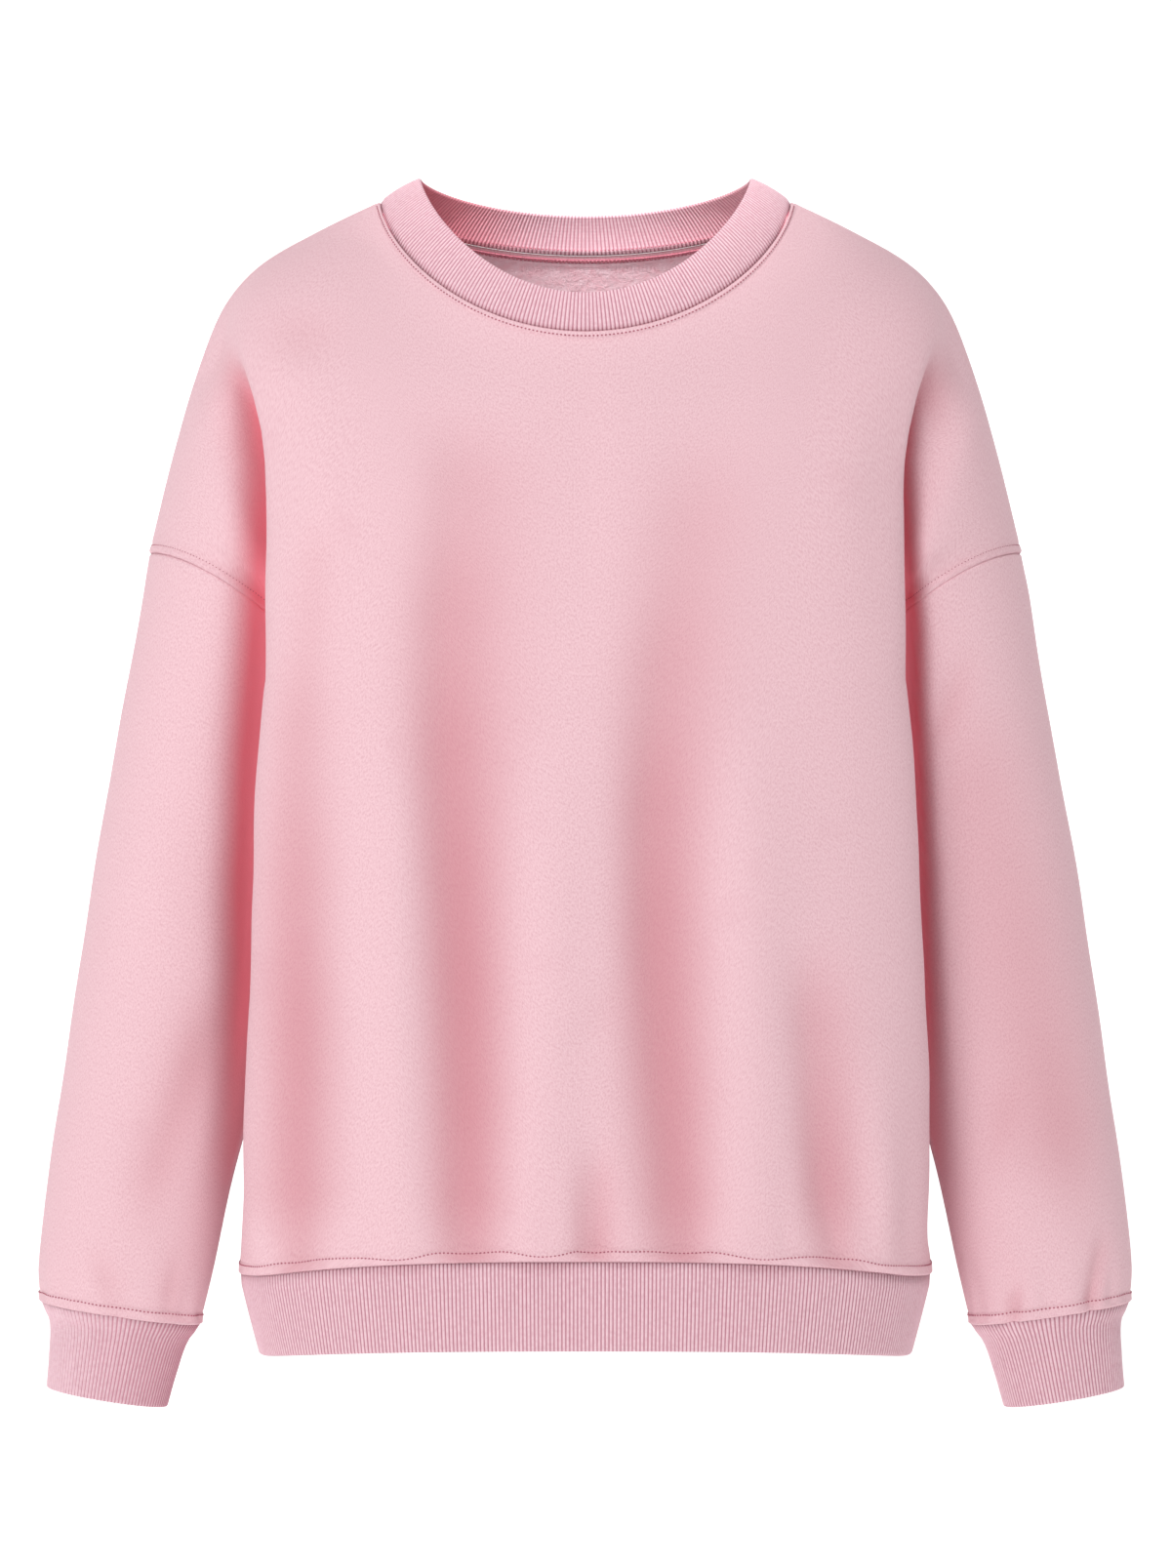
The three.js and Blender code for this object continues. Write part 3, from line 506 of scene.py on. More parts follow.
# Short gathers at the seams of the ribs: least and most of their depth and reach and, at the hem, of their
# half-width and slope. Those at the cuffs have one half-width, on a cuff of this radius.
HEM_GATHERS = ((0.5, 18, 5, -0.25), (2.1, 75, 9, 0.25))
CUFF_GATHERS = ((0.8, 12), (2.4, 34))
CUFF_GATHER_RADIUS = 44.0
CUFF_GATHER_SPREAD = 5.5


def sewing_sizes():
    return bpy.context.scene.sweatshirt_sewing


def knit_sizes():
    return bpy.context.scene.sweatshirt_knit


def scattered(rng, start, end, step):
    """Places at even steps, each moved aside a little at random."""
    places = np.arange(start, end, step)
    return places + rng.uniform(-8, 8, len(places))


def panel_form(face):
    """A body panel before its folds: its grid, each column's share of the half width, which is negative
    left of the middle as seen from outside, and each row's way down."""
    across = 1 - (1 - np.linspace(0, 1, PANEL_HALF_COLUMNS + 1)) ** 1.25
    upper, lower = np.linspace(0, 1, UPPER_ROWS + 1), np.linspace(1, 0, LOWER_ROWS + 1)[1:]
    upper, lower = 0.2 * upper + 0.8 * upper**2, 2 - 0.2 * lower - 0.8 * lower**2
    half = np.concatenate([
        upper_points(*np.meshgrid(across, upper), face),
        lower_points(*np.meshgrid(across, lower), face),
    ])
    other = half * (-1, 1, 1)
    first, second = (other, half) if face == FRONT else (half, other)
    grid = np.concatenate([first[:, :0:-1], second], axis=1)
    share = np.concatenate([-across[:0:-1], across])
    # The cloth carries the corner at the neck point down only a little way.
    corner = bell((np.abs(share) - NECK_SHARE) / 0.09)[None, :] * smooth(walked(grid, 0) / 22)
    return softened(grid, corner[..., None], 1, 90), share, np.concatenate([upper, lower])


def panel_lift(grid, share, down, from_top, folds, free, face):
    """How far a panel's points stand out from the plain form: folds, gathers and rolls at the seams."""
    x, z = grid[..., 0], grid[..., 2]
    from_hem = walked(grid[::-1], 0)[::-1]
    from_side = np.minimum(walked(grid, 1), walked(grid[:, ::-1], 1)[:, ::-1])
    lift = -folds * free * smooth(from_hem / 6)
    lift += undulation(x, z, 3 if face == FRONT else 8) * free * smooth(from_top / 40) * smooth(from_hem / 25)
    # The hem band gathers the cloth a little: short creases rise from its seam.
    rng = np.random.default_rng(41 + face)
    for middle in scattered(rng, -232, 240, 21):
        depth, reach, spread, slope = rng.uniform(*HEM_GATHERS)
        gather = bell((x - middle - slope * from_hem) / spread) * bell(from_hem / reach)
        lift -= depth * gather * smooth((from_hem - 6) / 10) * free
    sewing = sewing_sizes()
    neck = 1 - ramp(NECK_SHARE - 0.012, NECK_SHARE + 0.006, np.abs(share))[None, :]
    lift += neck * seam_roll(from_top, sewing.neck_row / MM, sewing.roll_height / MM)
    lift += (1 - neck) * (0.5 * bell((from_top - 3.5) / 3) - PLAIN_SEAM_DIP * bell(from_top / 0.9))
    lift += seam_roll(from_hem, sewing.hem_row / MM, 0.6 * sewing.roll_height / MM)
    armhole = seam_roll(from_side, sewing.armhole_row / MM, 0.3 * sewing.roll_height / MM)
    lift += np.where((down <= 1)[:, None], armhole, -PLAIN_SEAM_DIP * bell(from_side / 0.9))
    return lift


def part_from_arms(grid, share, down, from_top):
    """Moves the front panel's edge in beside the upper arms and dips its cloth back where the arms part
    from the body. Gives the depth of that dip."""
    beyond = np.abs(share)[None, :] - between(ARM_CREASE, "down", "at", np.minimum(down, 1))[:, None]
    side = np.sign(grid[..., 0])
    above = (down <= 1)[:, None] * smooth(from_top / 28)
    drawn = ramp(0.42, 0.64, np.abs(share))[None, :] * (1 - ramp(0.02, 0.12, beyond))
    drawn = drawn * ARM_EDGE_IN["most"] * bell((grid[..., 2] - ARM_EDGE_IN["z"]) / ARM_EDGE_IN["reach"])
    grid[..., 0] -= side * drawn * above
    x, z = grid[..., 0], grid[..., 2]
    gap = np.where(side > 0, crease_depth(x, z, ARM_GAPS[LEFT]), crease_depth(-x, z, ARM_GAPS[RIGHT]))
    gap *= ramp(-0.02, 0.03, beyond) * above
    grid[..., 1] += gap
    return gap


@functools.lru_cache(maxsize=None)
def panel_grid(face):
    """Outer face of a body panel with its folds: its grid, normals, the strengths of its painted shade,
    and each point's place in the cut."""
    grid, share, down = panel_form(face)
    from_top = walked(grid, 0)
    free = 1 - ramp(0.8, 0.97, np.abs(share))[None, :]
    paths = FRONT_FOLDS if face == FRONT else BACK_FOLDS
    folds = sum(crease_depth(grid[..., 0], grid[..., 2], path) for path in paths)
    lift = panel_lift(grid, share, down, from_top, folds, free, face)
    grid = grid + grid_normals(grid) * lift[..., None]
    gap = part_from_arms(grid, share, down, from_top) if face == FRONT else np.zeros(grid.shape[:2])
    normals = grid_normals(grid)
    return grid, normals, hollows(grid, normals, folds * free, gap), share, down


@functools.lru_cache(maxsize=None)
def sleeve_grid(side):
    """Outer face of a sleeve with its creases: its grid, normals and the strengths of its painted shade.
    Columns start at the outer end and go round behind."""
    t = np.linspace(0, 1, SLEEVE_ROWS + 1)
    along = 0.2 * t + 0.8 * (1 - np.cos(math.pi * t)) / 2
    turn = -np.arange(SLEEVE_COLUMNS) * 2 * math.pi / SLEEVE_COLUMNS
    ring = {name: between(SLEEVE, "along", name, along)[:, None] for name in SLEEVE if name != "along"}
    square = 2 + (SLEEVE_SQUARE - 2) * smooth(along * 5)[:, None]
    grid = arm_ring(ring, turn[None, :], square)
    around = ((turn + math.pi) % (2 * math.pi) - math.pi)[None, :]
    arc = np.broadcast_to(around * SLEEVE_RADIUS, grid.shape[:2])
    run = np.broadcast_to(along[:, None] * SLEEVE_LENGTH, grid.shape[:2])
    folds = np.zeros(grid.shape[:2])
    for crease in SLEEVE_CREASES[side]:
        angles, shares, depths, spreads = np.transpose(crease)
        places = zip(np.radians(angles) * SLEEVE_RADIUS, shares * SLEEVE_LENGTH, depths, spreads)
        folds += crease_depth(arc, run, fold(*places))
    lift = -folds
    from_top, from_cuff = walked(grid, 0), walked(grid[::-1], 0)[::-1]
    wave = undulation(60 * np.cos(around), run, 21 + side)
    lift += 0.8 * wave * smooth(from_top / 30) * smooth(from_cuff / 30)
    rng = np.random.default_rng(31 + side)
    for angle in scattered(rng, -170, 180, 24):
        depth, reach = rng.uniform(*CUFF_GATHERS)
        off = (around - math.radians(angle) + math.pi) % (2 * math.pi) - math.pi
        gather = bell(off * CUFF_GATHER_RADIUS / CUFF_GATHER_SPREAD) * bell(from_cuff / reach)
        lift -= depth * gather * smooth(from_cuff / 5)
    sewing = sewing_sizes()
    lift += seam_roll(from_cuff, sewing.cuff_row / MM, 0.7 * sewing.roll_height / MM)
    lift -= SEAM_DIP * bell(from_top / 0.7)
    grid = grid + grid_normals(grid, True) * lift[..., None]
    gap = crease_depth(grid[..., 0], grid[..., 2], ARM_GAPS[side]) * smooth(3 * np.sin(turn))
    grid[..., 1] += gap
    if side == RIGHT:
        grid, gap, folds = grid[:, ::-1] * (-1, 1, 1), gap[:, ::-1], folds[:, ::-1]
    normals = grid_normals(grid, True)
    # The sleeve's creases get a third more painted shade than their placed depth gives.
    return grid, normals, hollows(grid, normals, 1.3 * folds, gap, True)


# Meshes
def new_object(name, vertices, faces, materials, uvs=None, face_materials=None, painted_shade_depths=None):
    """A mesh object from vertices in millimetres. The last argument holds two numbers for each vertex: the
    strength of the painted shade of a fold and of the painted shade of a gap there."""
    mesh = bpy.data.meshes.new(name)
    faces = np.asarray(faces, np.int32)
    corners = faces.shape[1]
    mesh.vertices.add(len(vertices))
    mesh.vertices.foreach_set("co", (np.asarray(vertices) * MM).astype(np.float32).ravel())
    mesh.loops.add(faces.size)
    mesh.loops.foreach_set("vertex_index", faces.ravel())
    mesh.polygons.add(len(faces))
    mesh.polygons.foreach_set("loop_start", np.arange(0, faces.size, corners, dtype=np.int32))
    mesh.polygons.foreach_set("loop_total", np.full(len(faces), corners, np.int32))
    mesh.polygons.foreach_set("use_smooth", np.ones(len(faces), bool))
    for material in materials:
        mesh.materials.append(material)
    if face_materials is not None:
        mesh.polygons.foreach_set("material_index", np.asarray(face_materials, np.int32))
    if uvs is not None:
        layer = mesh.uv_layers.new(name="cut")
        layer.data.foreach_set("uv", (np.asarray(uvs)[faces.ravel()] * MM).astype(np.float32).ravel())
    if painted_shade_depths is not None:
        for k, kind in enumerate(("fold", "gap")):
            depths = mesh.attributes.new(kind, "FLOAT", "POINT")
            depths.data.foreach_set("value", np.asarray(painted_shade_depths, np.float32)[..., k].ravel())
    mesh.update()
    mesh.validate()
    piece = bpy.data.objects.new(name, mesh)
    bpy.context.scene.collection.objects.link(piece)
    return piece


def quads(ids, closed=False):
    """Quads of a grid of vertex numbers, facing outward."""
    right = np.roll(ids, -1, axis=1) if closed else ids[:, 1:]
    left = ids if closed else ids[:, :-1]
    return np.stack([left[:-1], left[1:], right[1:], right[:-1]], axis=-1).reshape(-1, 4)


def open_wall(name, outer, normals, deep, wall, materials):
    """A panel: an outer and an inner skin joined round all four edges. The inside takes materials[1]."""
    inner = outer - normals * wall
    rows, columns = outer.shape[:2]
    ids = np.arange(rows * columns).reshape(rows, columns)
    back = ids + rows * columns
    rims = [
        np.stack([ids[0], back[0]]),
        np.stack([back[-1], ids[-1]]),
        np.stack([ids[:, -1], back[:, -1]]),
        np.stack([back[:, 0], ids[:, 0]]),
    ]
    faces = [quads(ids), quads(back)[:, ::-1]]
    faces += [quads(rim)[:, ::-1] for rim in rims]
    marks = np.concatenate([np.full(len(f), 1 if k == 1 else 0) for k, f in enumerate(faces)])
    u = walked(outer, 1)
    u = u - u[:, columns // 2][:, None]
    v = -walked(outer, 0)
    uv = np.stack([u, v], axis=-1).reshape(-1, 2)
    uv = np.concatenate([uv, uv])
    vertices = np.concatenate([outer.reshape(-1, 3), inner.reshape(-1, 3)])
    # The outer skin takes the painted shade, the inner skin none.
    deep = np.stack([deep, np.zeros_like(deep)])
    return new_object(name, vertices, np.concatenate(faces), materials, uv, marks, deep)


def closed_wall(name, outer, inner, materials, u_total, deep=None, gap_shade_share=0.0):
    """A tube: an outer and an inner skin joined at both ends. u runs once round as u_total, and the
    inside takes the last of the materials. deep holds the strengths of the outer skin's painted shade, and
    the last argument how strongly painted gap shade is laid on the inside towards its two sides, less on
    the one that faces the light."""
    rows, columns = outer.shape[:2]
    loops = np.concatenate([outer, inner[::-1]])
    ids = np.arange(len(loops) * (columns + 1)).reshape(len(loops), columns + 1)
    loops = np.concatenate([loops, loops[:, :1]], axis=1)
    faces = quads(np.concatenate([ids, ids[:1]]))
    marks = np.zeros(len(faces), int)
    marks[rows * columns : (2 * rows - 1) * columns] = len(materials) - 1
    run = walked(outer.mean(axis=1, keepdims=True), 0)[:, 0]
    u = np.broadcast_to(np.linspace(0, u_total, columns + 1), ids.shape)
    v = np.broadcast_to(np.concatenate([-run, -run[::-1]])[:, None], ids.shape)
    uv = np.stack([u, v], axis=-1).reshape(-1, 2)
    depths = np.zeros((*ids.shape, 2))
    if deep is not None:
        depths[:rows] = np.concatenate([deep, deep[:, :1]], axis=1)
    across = loops[rows:, :, 0]
    # Painted shade inside the tube: the gap tone, strongest towards both sides and weaker on the side that
    # faces the light.
    depths[rows:, :, 1] = gap_shade_share * ramp(20, 95, np.abs(across)) * np.where(across < 0, 1, LIT_SIDE_SHARE)
    piece = new_object(name, loops.reshape(-1, 3), faces, materials, uv, marks, depths)
    weld(piece)
    return piece


def weld(piece):
    """Joins the doubled points along the line where a tube's cut edges meet."""
    mesh = bmesh.new()
    mesh.from_mesh(piece.data)
    bmesh.ops.remove_doubles(mesh, verts=mesh.verts, dist=1e-6)
    mesh.to_mesh(piece.data)
    mesh.free()


def rib_tube(place, facing, ribs, rows):
    """A rib strip: place(turns, along) and facing(turns, along) give its outer face, along 0 at the seam
    and 1 at the folded free edge. Ridges and grooves show on both sides."""
    knit = knit_sizes()
    wall, depth = knit.rib_wall / MM, knit.rib_depth / MM
    turns = np.linspace(0, 2 * math.pi, 2001)
    run = walked(place(turns, np.full_like(turns, 0.5)), 0)
    columns = ribs * COLUMNS_PER_RIB
    turn = np.interp(np.arange(columns) / columns * run[-1], run, turns)
    along = np.sin(np.linspace(0, 1, rows + 1) * math.pi / 2) ** 0.9
    turn_grid, along_grid = np.meshgrid(turn, along)
    base, out = place(turn_grid, along_grid), facing(turn_grid, along_grid)
    from_seam = walked(base, 0)
    from_edge = from_seam[-1:] - from_seam
    phase = (np.arange(columns) % COLUMNS_PER_RIB) / COLUMNS_PER_RIB
    ridge = np.abs(np.sin(math.pi * phase)) ** 0.7 - 1
    body = np.clip(from_edge / (wall / 2), 0, 1)
    rounding = wall / 2 * (1 - np.sqrt(np.maximum(1 - (1 - body) ** 2, 0)))
    relief = depth * ridge[None, :] * (0.5 + 0.5 * smooth(from_edge / 2.5))
    outer = base + out * (relief - rounding - bell(from_seam / 0.8))[..., None]
    inner = base - out * (wall + relief - rounding)[..., None]
    rises = base[-1, :, 2].mean() > base[0, :, 2].mean()
    order = slice(None, None, -1 if rises else 1)
    return outer[order], inner[order], run[-1]


# Sewing thread. A stitch is drawn by rings: where each stands along it, how wide it is and how deep it
# sinks into the cloth.
STITCH_RINGS = ((-0.5, 0.3, 0.5), (-0.3, 1, 0.1), (0, 1.08, 0), (0.3, 1, 0.1), (0.5, 0.3, 0.5))


def path_at(grid, normals, distance, from_start=True):
    """The line that runs at a distance from a grid's first row, or its last, with the normals there."""
    rows, facing = (grid, normals) if from_start else (grid[::-1], normals[::-1])
    run = walked(rows, 0)
    i = np.clip((run < distance).sum(axis=0) - 1, 0, len(rows) - 2)
    k = np.arange(rows.shape[1])
    t = ((distance - run[i, k]) / (run[i + 1, k] - run[i, k]))[:, None]
    return rows[i, k] * (1 - t) + rows[i + 1, k] * t, unit(facing[i, k] * (1 - t) + facing[i + 1, k] * t)


def places_at(line, run, where):
    """Points of a line at lengths walked along it."""
    return np.stack([np.interp(where, run, line[:, k]) for k in range(3)], axis=-1)


def thread_faces(ids):
    """Faces of six-sided threads with closed ends, from vertex numbers by thread, ring and side."""
    around = np.roll(ids, -1, axis=2)
    sides = np.stack([ids[:, :-1], ids[:, 1:], around[:, 1:], around[:, :-1]], axis=-1).reshape(-1, 4)
    ends = [ids[:, 0, [0, 1, 2, 3]], ids[:, 0, [0, 3, 4, 5]]]
    ends += [ids[:, -1, [3, 2, 1, 0]], ids[:, -1, [5, 4, 3, 0]]]
    return np.concatenate([sides, *ends])


def stitches(line, normals, sewing, bulk=1.0):
    """Vertices and faces of a row of stitches along a line. bulk scales the thread."""
    run = walked(line, 0)
    pitch = (sewing.stitch_length + sewing.stitch_gap) / MM
    count = max(int(run[-1] / pitch), 1)
    middle = (np.arange(count) + 0.5) * run[-1] / count
    length, radius = bulk * sewing.stitch_length / MM, bulk * sewing.thread_diameter / MM / 2
    up = unit(places_at(normals, run, middle))
    ahead = unit(places_at(line, run, middle + 0.5) - places_at(line, run, middle - 0.5))
    side = unit(np.cross(ahead, up))
    angle = np.arange(6) * math.pi / 3
    ring = np.cos(angle)[None, :, None] * side[:, None] + 0.75 * np.sin(angle)[None, :, None] * up[:, None]
    rings = []
    for along, width, sink in STITCH_RINGS:
        centre = places_at(line, run, middle + along * length)
        centre = centre + up * (0.1 + radius * 0.3 - sink * radius * 1.6)
        rings.append(centre[:, None] + ring * radius * width)
    vertices = np.stack(rings, axis=1).reshape(-1, 3)
    return vertices, thread_faces(np.arange(len(vertices)).reshape(count, len(rings), len(angle)))


def thread_tube(line):
    """A looper thread along a line."""
    ahead = unit(np.gradient(line, axis=0))
    side = unit(np.cross(ahead, (0.13, 0.31, 0.94)))
    up = np.cross(side, ahead)
    angle = np.arange(6) * 2 * math.pi / 6
    ring = np.cos(angle)[None, :, None] * side[:, None] + np.sin(angle)[None, :, None] * up[:, None]
    vertices = (line[:, None] + ring * LOOPER_RADIUS).reshape(-1, 3)
    return vertices, thread_faces(np.arange(len(vertices)).reshape(1, len(line), len(angle)))


def joined(parts):
    vertices, faces, start = [], [], 0
    for v, f in parts:
        vertices.append(v)
        faces.append(f + start)
        start += len(v)
    return np.concatenate(vertices), np.concatenate(faces)


# Materials
def linear(hex_colour):
    channels = [int(hex_colour[i : i + 2], 16) / 255 for i in (1, 3, 5)]
    return (*(c / 12.92 if c <= 0.04045 else ((c + 0.055) / 1.055) ** 2.4 for c in channels), 1.0)


def node(tree, kind, links=None, **settings):
    """Adds a node. settings with a leading i_ set inputs, the others the node's own values."""
    made = tree.nodes.new(kind)
    for name, value in settings.items():
        if name.startswith("i_"):
            key = name[2:].replace("_", " ")
            made.inputs[int(key) if key.isdigit() else key].default_value = value
        else:
            setattr(made, name, value)
    for key, source in (links or {}).items():
        tree.links.new(source, made.inputs[key])
    return made


def new_material(name):
    """A material with an empty tree, and the coordinates that its patterns are placed by."""
    material = bpy.data.materials.new(name)
    material.use_nodes = True
    tree = material.node_tree
    tree.nodes.clear()
    return material, tree, node(tree, "ShaderNodeTexCoord").outputs


# A colour from the scene's dyes and painted shade tones.
def dye_and_painted_shade(name):
    return tuple(getattr(bpy.context.scene.sweatshirt_dyes, name))


def noise(tree, coordinate, size_mm, detail, roughness=0.5):
    texture = node(
        tree,
        "ShaderNodeTexNoise",
        {"Vector": coordinate},
        i_Scale=per_mm(size_mm),
        i_Detail=detail,
        i_Roughness=roughness,
    )
    return texture.outputs["Fac"]


def per_mm(size_mm):
    """Scale of a pattern that repeats every size_mm in coordinates that are in metres."""
    return 1 / (size_mm * MM)


def bands(size_mm):
    """Scale of a wave texture whose bands stand size_mm apart."""
    return math.pi / (10 * size_mm * MM)


def blended(tree, factor, low, high):
    """Mixes two colours, each a value or the output of a node."""
    mix = node(tree, "ShaderNodeMix", {"Factor": factor}, data_type="RGBA")
    sockets = {i.name: i for i in mix.inputs if i.type == "RGBA"}
    for socket, value in ((sockets["A"], low), (sockets["B"], high)):
        if isinstance(value, bpy.types.NodeSocket):
            tree.links.new(value, socket)
        else:
            socket.default_value = value
    return next(o for o in mix.outputs if o.type == "RGBA")


def mottled(tree, coordinate, deep, base, size_mm, low, high):
    """Spots of two colours. The noise gives the deep one below low and the base one above high."""
    spots = noise(tree, coordinate, size_mm, 3.0)
    share = node(tree, "ShaderNodeMapRange", {"Value": spots}, i_From_Min=low, i_From_Max=high)
    return blended(tree, share.outputs["Result"], deep, base)


def with_painted_shade(tree, colour):
    """Paints shade into a colour: a deeper tone down in the folds, and a warm deep rose in the tight gaps,
    where it stands in for shade and for light bounced from cloth to cloth."""
    for kind, tone, most in (("fold", dye_and_painted_shade("face_painted_fold_shade"), 0.75), ("gap", dye_and_painted_shade("face_painted_gap_shade"), 0.95)):
        depth = node(tree, "ShaderNodeAttribute", attribute_name=kind).outputs["Fac"]
        share = node(tree, "ShaderNodeMapRange", {"Value": depth}, i_To_Max=most).outputs["Result"]
        colour = blended(tree, share, colour, tone)
    return colour


def finish_cloth(tree, colour, height, strength, relief_mm, roughness, sheen=0.2):
    """Ends a cloth's tree with its colour, the relief that follows height, and its dry surface."""
    bump = node(tree, "ShaderNodeBump", {"Height": height}, i_Strength=strength, i_Distance=relief_mm * MM)
    shader = node(
        tree,
        "ShaderNodeBsdfPrincipled",
        {"Base Color": colour, "Normal": bump.outputs["Normal"]},
        i_Roughness=roughness,
        i_IOR=1.45,
        i_Specular_IOR_Level=0.2,
        i_Sheen_Weight=sheen,
        i_Sheen_Roughness=0.55,
        i_Sheen_Tint=(1.0, 0.8, 0.85, 1.0),
    )
    node(tree, "ShaderNodeOutputMaterial", {"Surface": shader.outputs["BSDF"]})


@functools.lru_cache(maxsize=None)
def jersey_face():
    """Cotton fleece, smooth jersey face, knitted and piece-dyed: loops under a millimetre wide blur into
    a soft, dry, slightly fuzzy surface with a faint mottle."""
    material, tree, place = new_material("Cotton fleece jersey, knitted and piece-dyed")
    # Wales of loops are 0.7 mm apart; their grain is drawn about 1.3 mm wide so that it shows.
    wales = node(tree, "ShaderNodeMapping", {"Vector": place["UV"]}, i_Scale=(1.6, 1.0, 1.0)).outputs[0]
    fine = mottled(tree, wales, dye_and_painted_shade("face_deep"), dye_and_painted_shade("face"), 1.6, 0.3, 0.6)
    broad = mottled(tree, place["Object"], dye_and_painted_shade("face_deep"), fine, 60, -0.05, 0.35)
    # The face takes painted shade in its folds and gaps.
    finish_cloth(tree, with_painted_shade(tree, broad), noise(tree, wales, 1.9, 4.0, 0.65), 0.55, 0.4, 0.9)
    return material


@functools.lru_cache(maxsize=None)
def brushed_back():
    """Brushed back of the same fleece: a raised nap with small tufts, duller and dustier."""
    material, tree, place = new_material("Cotton fleece back, brushed nap")
    # The nap takes painted shade wherever the fold and gap attributes are set.
    colour = with_painted_shade(tree, mottled(tree, place["Object"], dye_and_painted_shade("nap_deep"), dye_and_painted_shade("nap"), 4.5, 0.3, 0.65))
    finish_cloth(tree, colour, noise(tree, place["Object"], 3, 5.0, 0.7), 0.8, 1.2, 1.0, sheen=0.4)
    return material


@functools.lru_cache(maxsize=None)
def rib_knit(pitch_mm, name):
    """One by one rib in the same yarn: round ridges of knit loops with narrow shaded grooves."""
    material, tree, place = new_material(f"Cotton rib knit, {name}, folded double")
    across = node(tree, "ShaderNodeSeparateXYZ", {"Vector": place["UV"]}).outputs["X"]
    # Distance from the middle of a rib, in ribs: the groove is at half a rib.
    for step, value in (("MULTIPLY", per_mm(pitch_mm)), ("FRACT", 0), ("SUBTRACT", 0.5), ("ABSOLUTE", 0)):
        across = node(tree, "ShaderNodeMath", {0: across}, operation=step, i_1=value).outputs["Value"]
    edges = {"interpolation_type": "SMOOTHSTEP", "i_From_Min": 0.2, "i_From_Max": 0.46}
    groove = node(tree, "ShaderNodeMapRange", {"Value": across}, **edges).outputs["Result"]
    plain = mottled(tree, place["Object"], dye_and_painted_shade("rib_deep"), dye_and_painted_shade("rib"), 2.4, 0.3, 0.6)
    # Painted shade: the grooves between the ribs are coloured darker than the ridges, and the fold and gap
    # shade is painted over that.
    colour = with_painted_shade(tree, blended(tree, groove, plain, dye_and_painted_shade("rib_groove")))
    # Loops of the rib are about 1.1 mm high; they are drawn 1.7 mm high so that they show.
    waves = {"bands_direction": "Y", "i_Scale": bands(1.7), "i_Distortion": 0.6, "i_Detail_Scale": 3.0}
    loops = node(tree, "ShaderNodeTexWave", {"Vector": place["UV"]}, **waves).outputs["Fac"]
    fuzz = noise(tree, place["Object"], 1.2, 3.0)
    height = node(tree, "ShaderNodeMath", {0: loops, 2: fuzz}, operation="MULTIPLY_ADD", i_1=0.4)
    finish_cloth(tree, colour, height.outputs["Value"], 0.5, 0.25, 0.9)
    return material


def spun_thread(name, colour, deep):
    material, tree, place = new_material(name)
    tone = mottled(tree, place["Object"], deep, colour, 1.0, 0.3, 0.6)
    finish_cloth(tree, tone, noise(tree, place["Object"], 0.4, 2.0), 0.4, 0.1, 0.6)
    return material


@functools.lru_cache(maxsize=None)
def sewing_thread():
    """Spun polyester thread, drawn tight into the fleece: each stitch is a small, deeper dot with a slight
    gloss. Its deep rose is partly the thread's dye and partly painted shade, for the shade where the
    stitches sink into the fleece."""
    return spun_thread("Polyester sewing thread, spun and dyed", dye_and_painted_shade("thread"), dye_and_painted_shade("thread_deep"))


@functools.lru_cache(maxsize=None)
def overlock_thread():
    """Textured polyester of the overlock's loopers: fluffier and paler than the needle thread."""
    return spun_thread("Polyester looper thread, textured and dyed", dye_and_painted_shade("looper"), dye_and_painted_shade("thread"))


@functools.lru_cache(maxsize=None)
def seamless_paper():
    """White background paper, matt, and lit from behind so that it stays pale. It is clear from its
    back, so that the garment can be looked at from behind."""
    material, tree, place = new_material("Background paper, matt white")
    colour = mottled(tree, place["Object"], linear("#f3f4f3"), linear("#f7f8f7"), 180, 0.3, 0.7)
    glow = {"i_Emission_Color": linear("#ffffff"), "i_Emission_Strength": 0.42}
    shader = node(tree, "ShaderNodeBsdfPrincipled", {"Base Color": colour}, i_Roughness=0.9, **glow)
    clear = node(tree, "ShaderNodeBsdfTransparent")
    from_back = node(tree, "ShaderNodeNewGeometry").outputs["Backfacing"]
    links = {0: from_back, 1: shader.outputs["BSDF"], 2: clear.outputs["BSDF"]}
    surface = node(tree, "ShaderNodeMixShader", links).outputs["Shader"]
    node(tree, "ShaderNodeOutputMaterial", {"Surface": surface})
    return material


# Sizes and colours that a user would change
def length_property(name, description, default):
    return bpy.props.FloatProperty(name=name, description=description, default=default, unit="LENGTH")


def light_property(name, description, default):
    return bpy.props.FloatProperty(name=name, description=description, default=default, min=0)


def colour_property(name, description, hex_colour):
    return bpy.props.FloatVectorProperty(
        name=name, description=description, default=linear(hex_colour), size=4, subtype="COLOR", min=0, max=1
    )


class KnitSizes(bpy.types.PropertyGroup):
    fleece_wall: length_property("Fleece thickness", "Thickness of the brushed fleece", 2.0 * MM)
    rib_wall: length_property("Rib thickness", "Thickness of the rib strips, folded double", 2.8 * MM)
    rib_depth: length_property("Rib depth", "Depth of the grooves between ribs", 0.8 * MM)


class SewingSizes(bpy.types.PropertyGroup):
    stitch_length: length_property("Stitch length", "Length of one visible stitch", 1.3 * MM)
    stitch_gap: length_property("Stitch gap", "Gap between two stitches", 1.1 * MM)
    thread_diameter: length_property("Thread diameter", "Diameter of the sewing thread", 0.85 * MM)
    roll_height: length_property("Roll height", "Swell of the cloth over a seam allowance", 1.0 * MM)
    neck_row: length_property("Neck row", "Distance of the neck topstitch from its seam", 5.4 * MM)
    hem_row: length_property("Hem row", "Distance of the hem topstitch from its seam", 7.5 * MM)
    cuff_row: length_property("Cuff row", "Distance of the cuff topstitch from its seam", 7.0 * MM)
    armhole_row: length_property("Armhole row", "Distance of the armhole topstitch from its seam", 5.8 * MM)


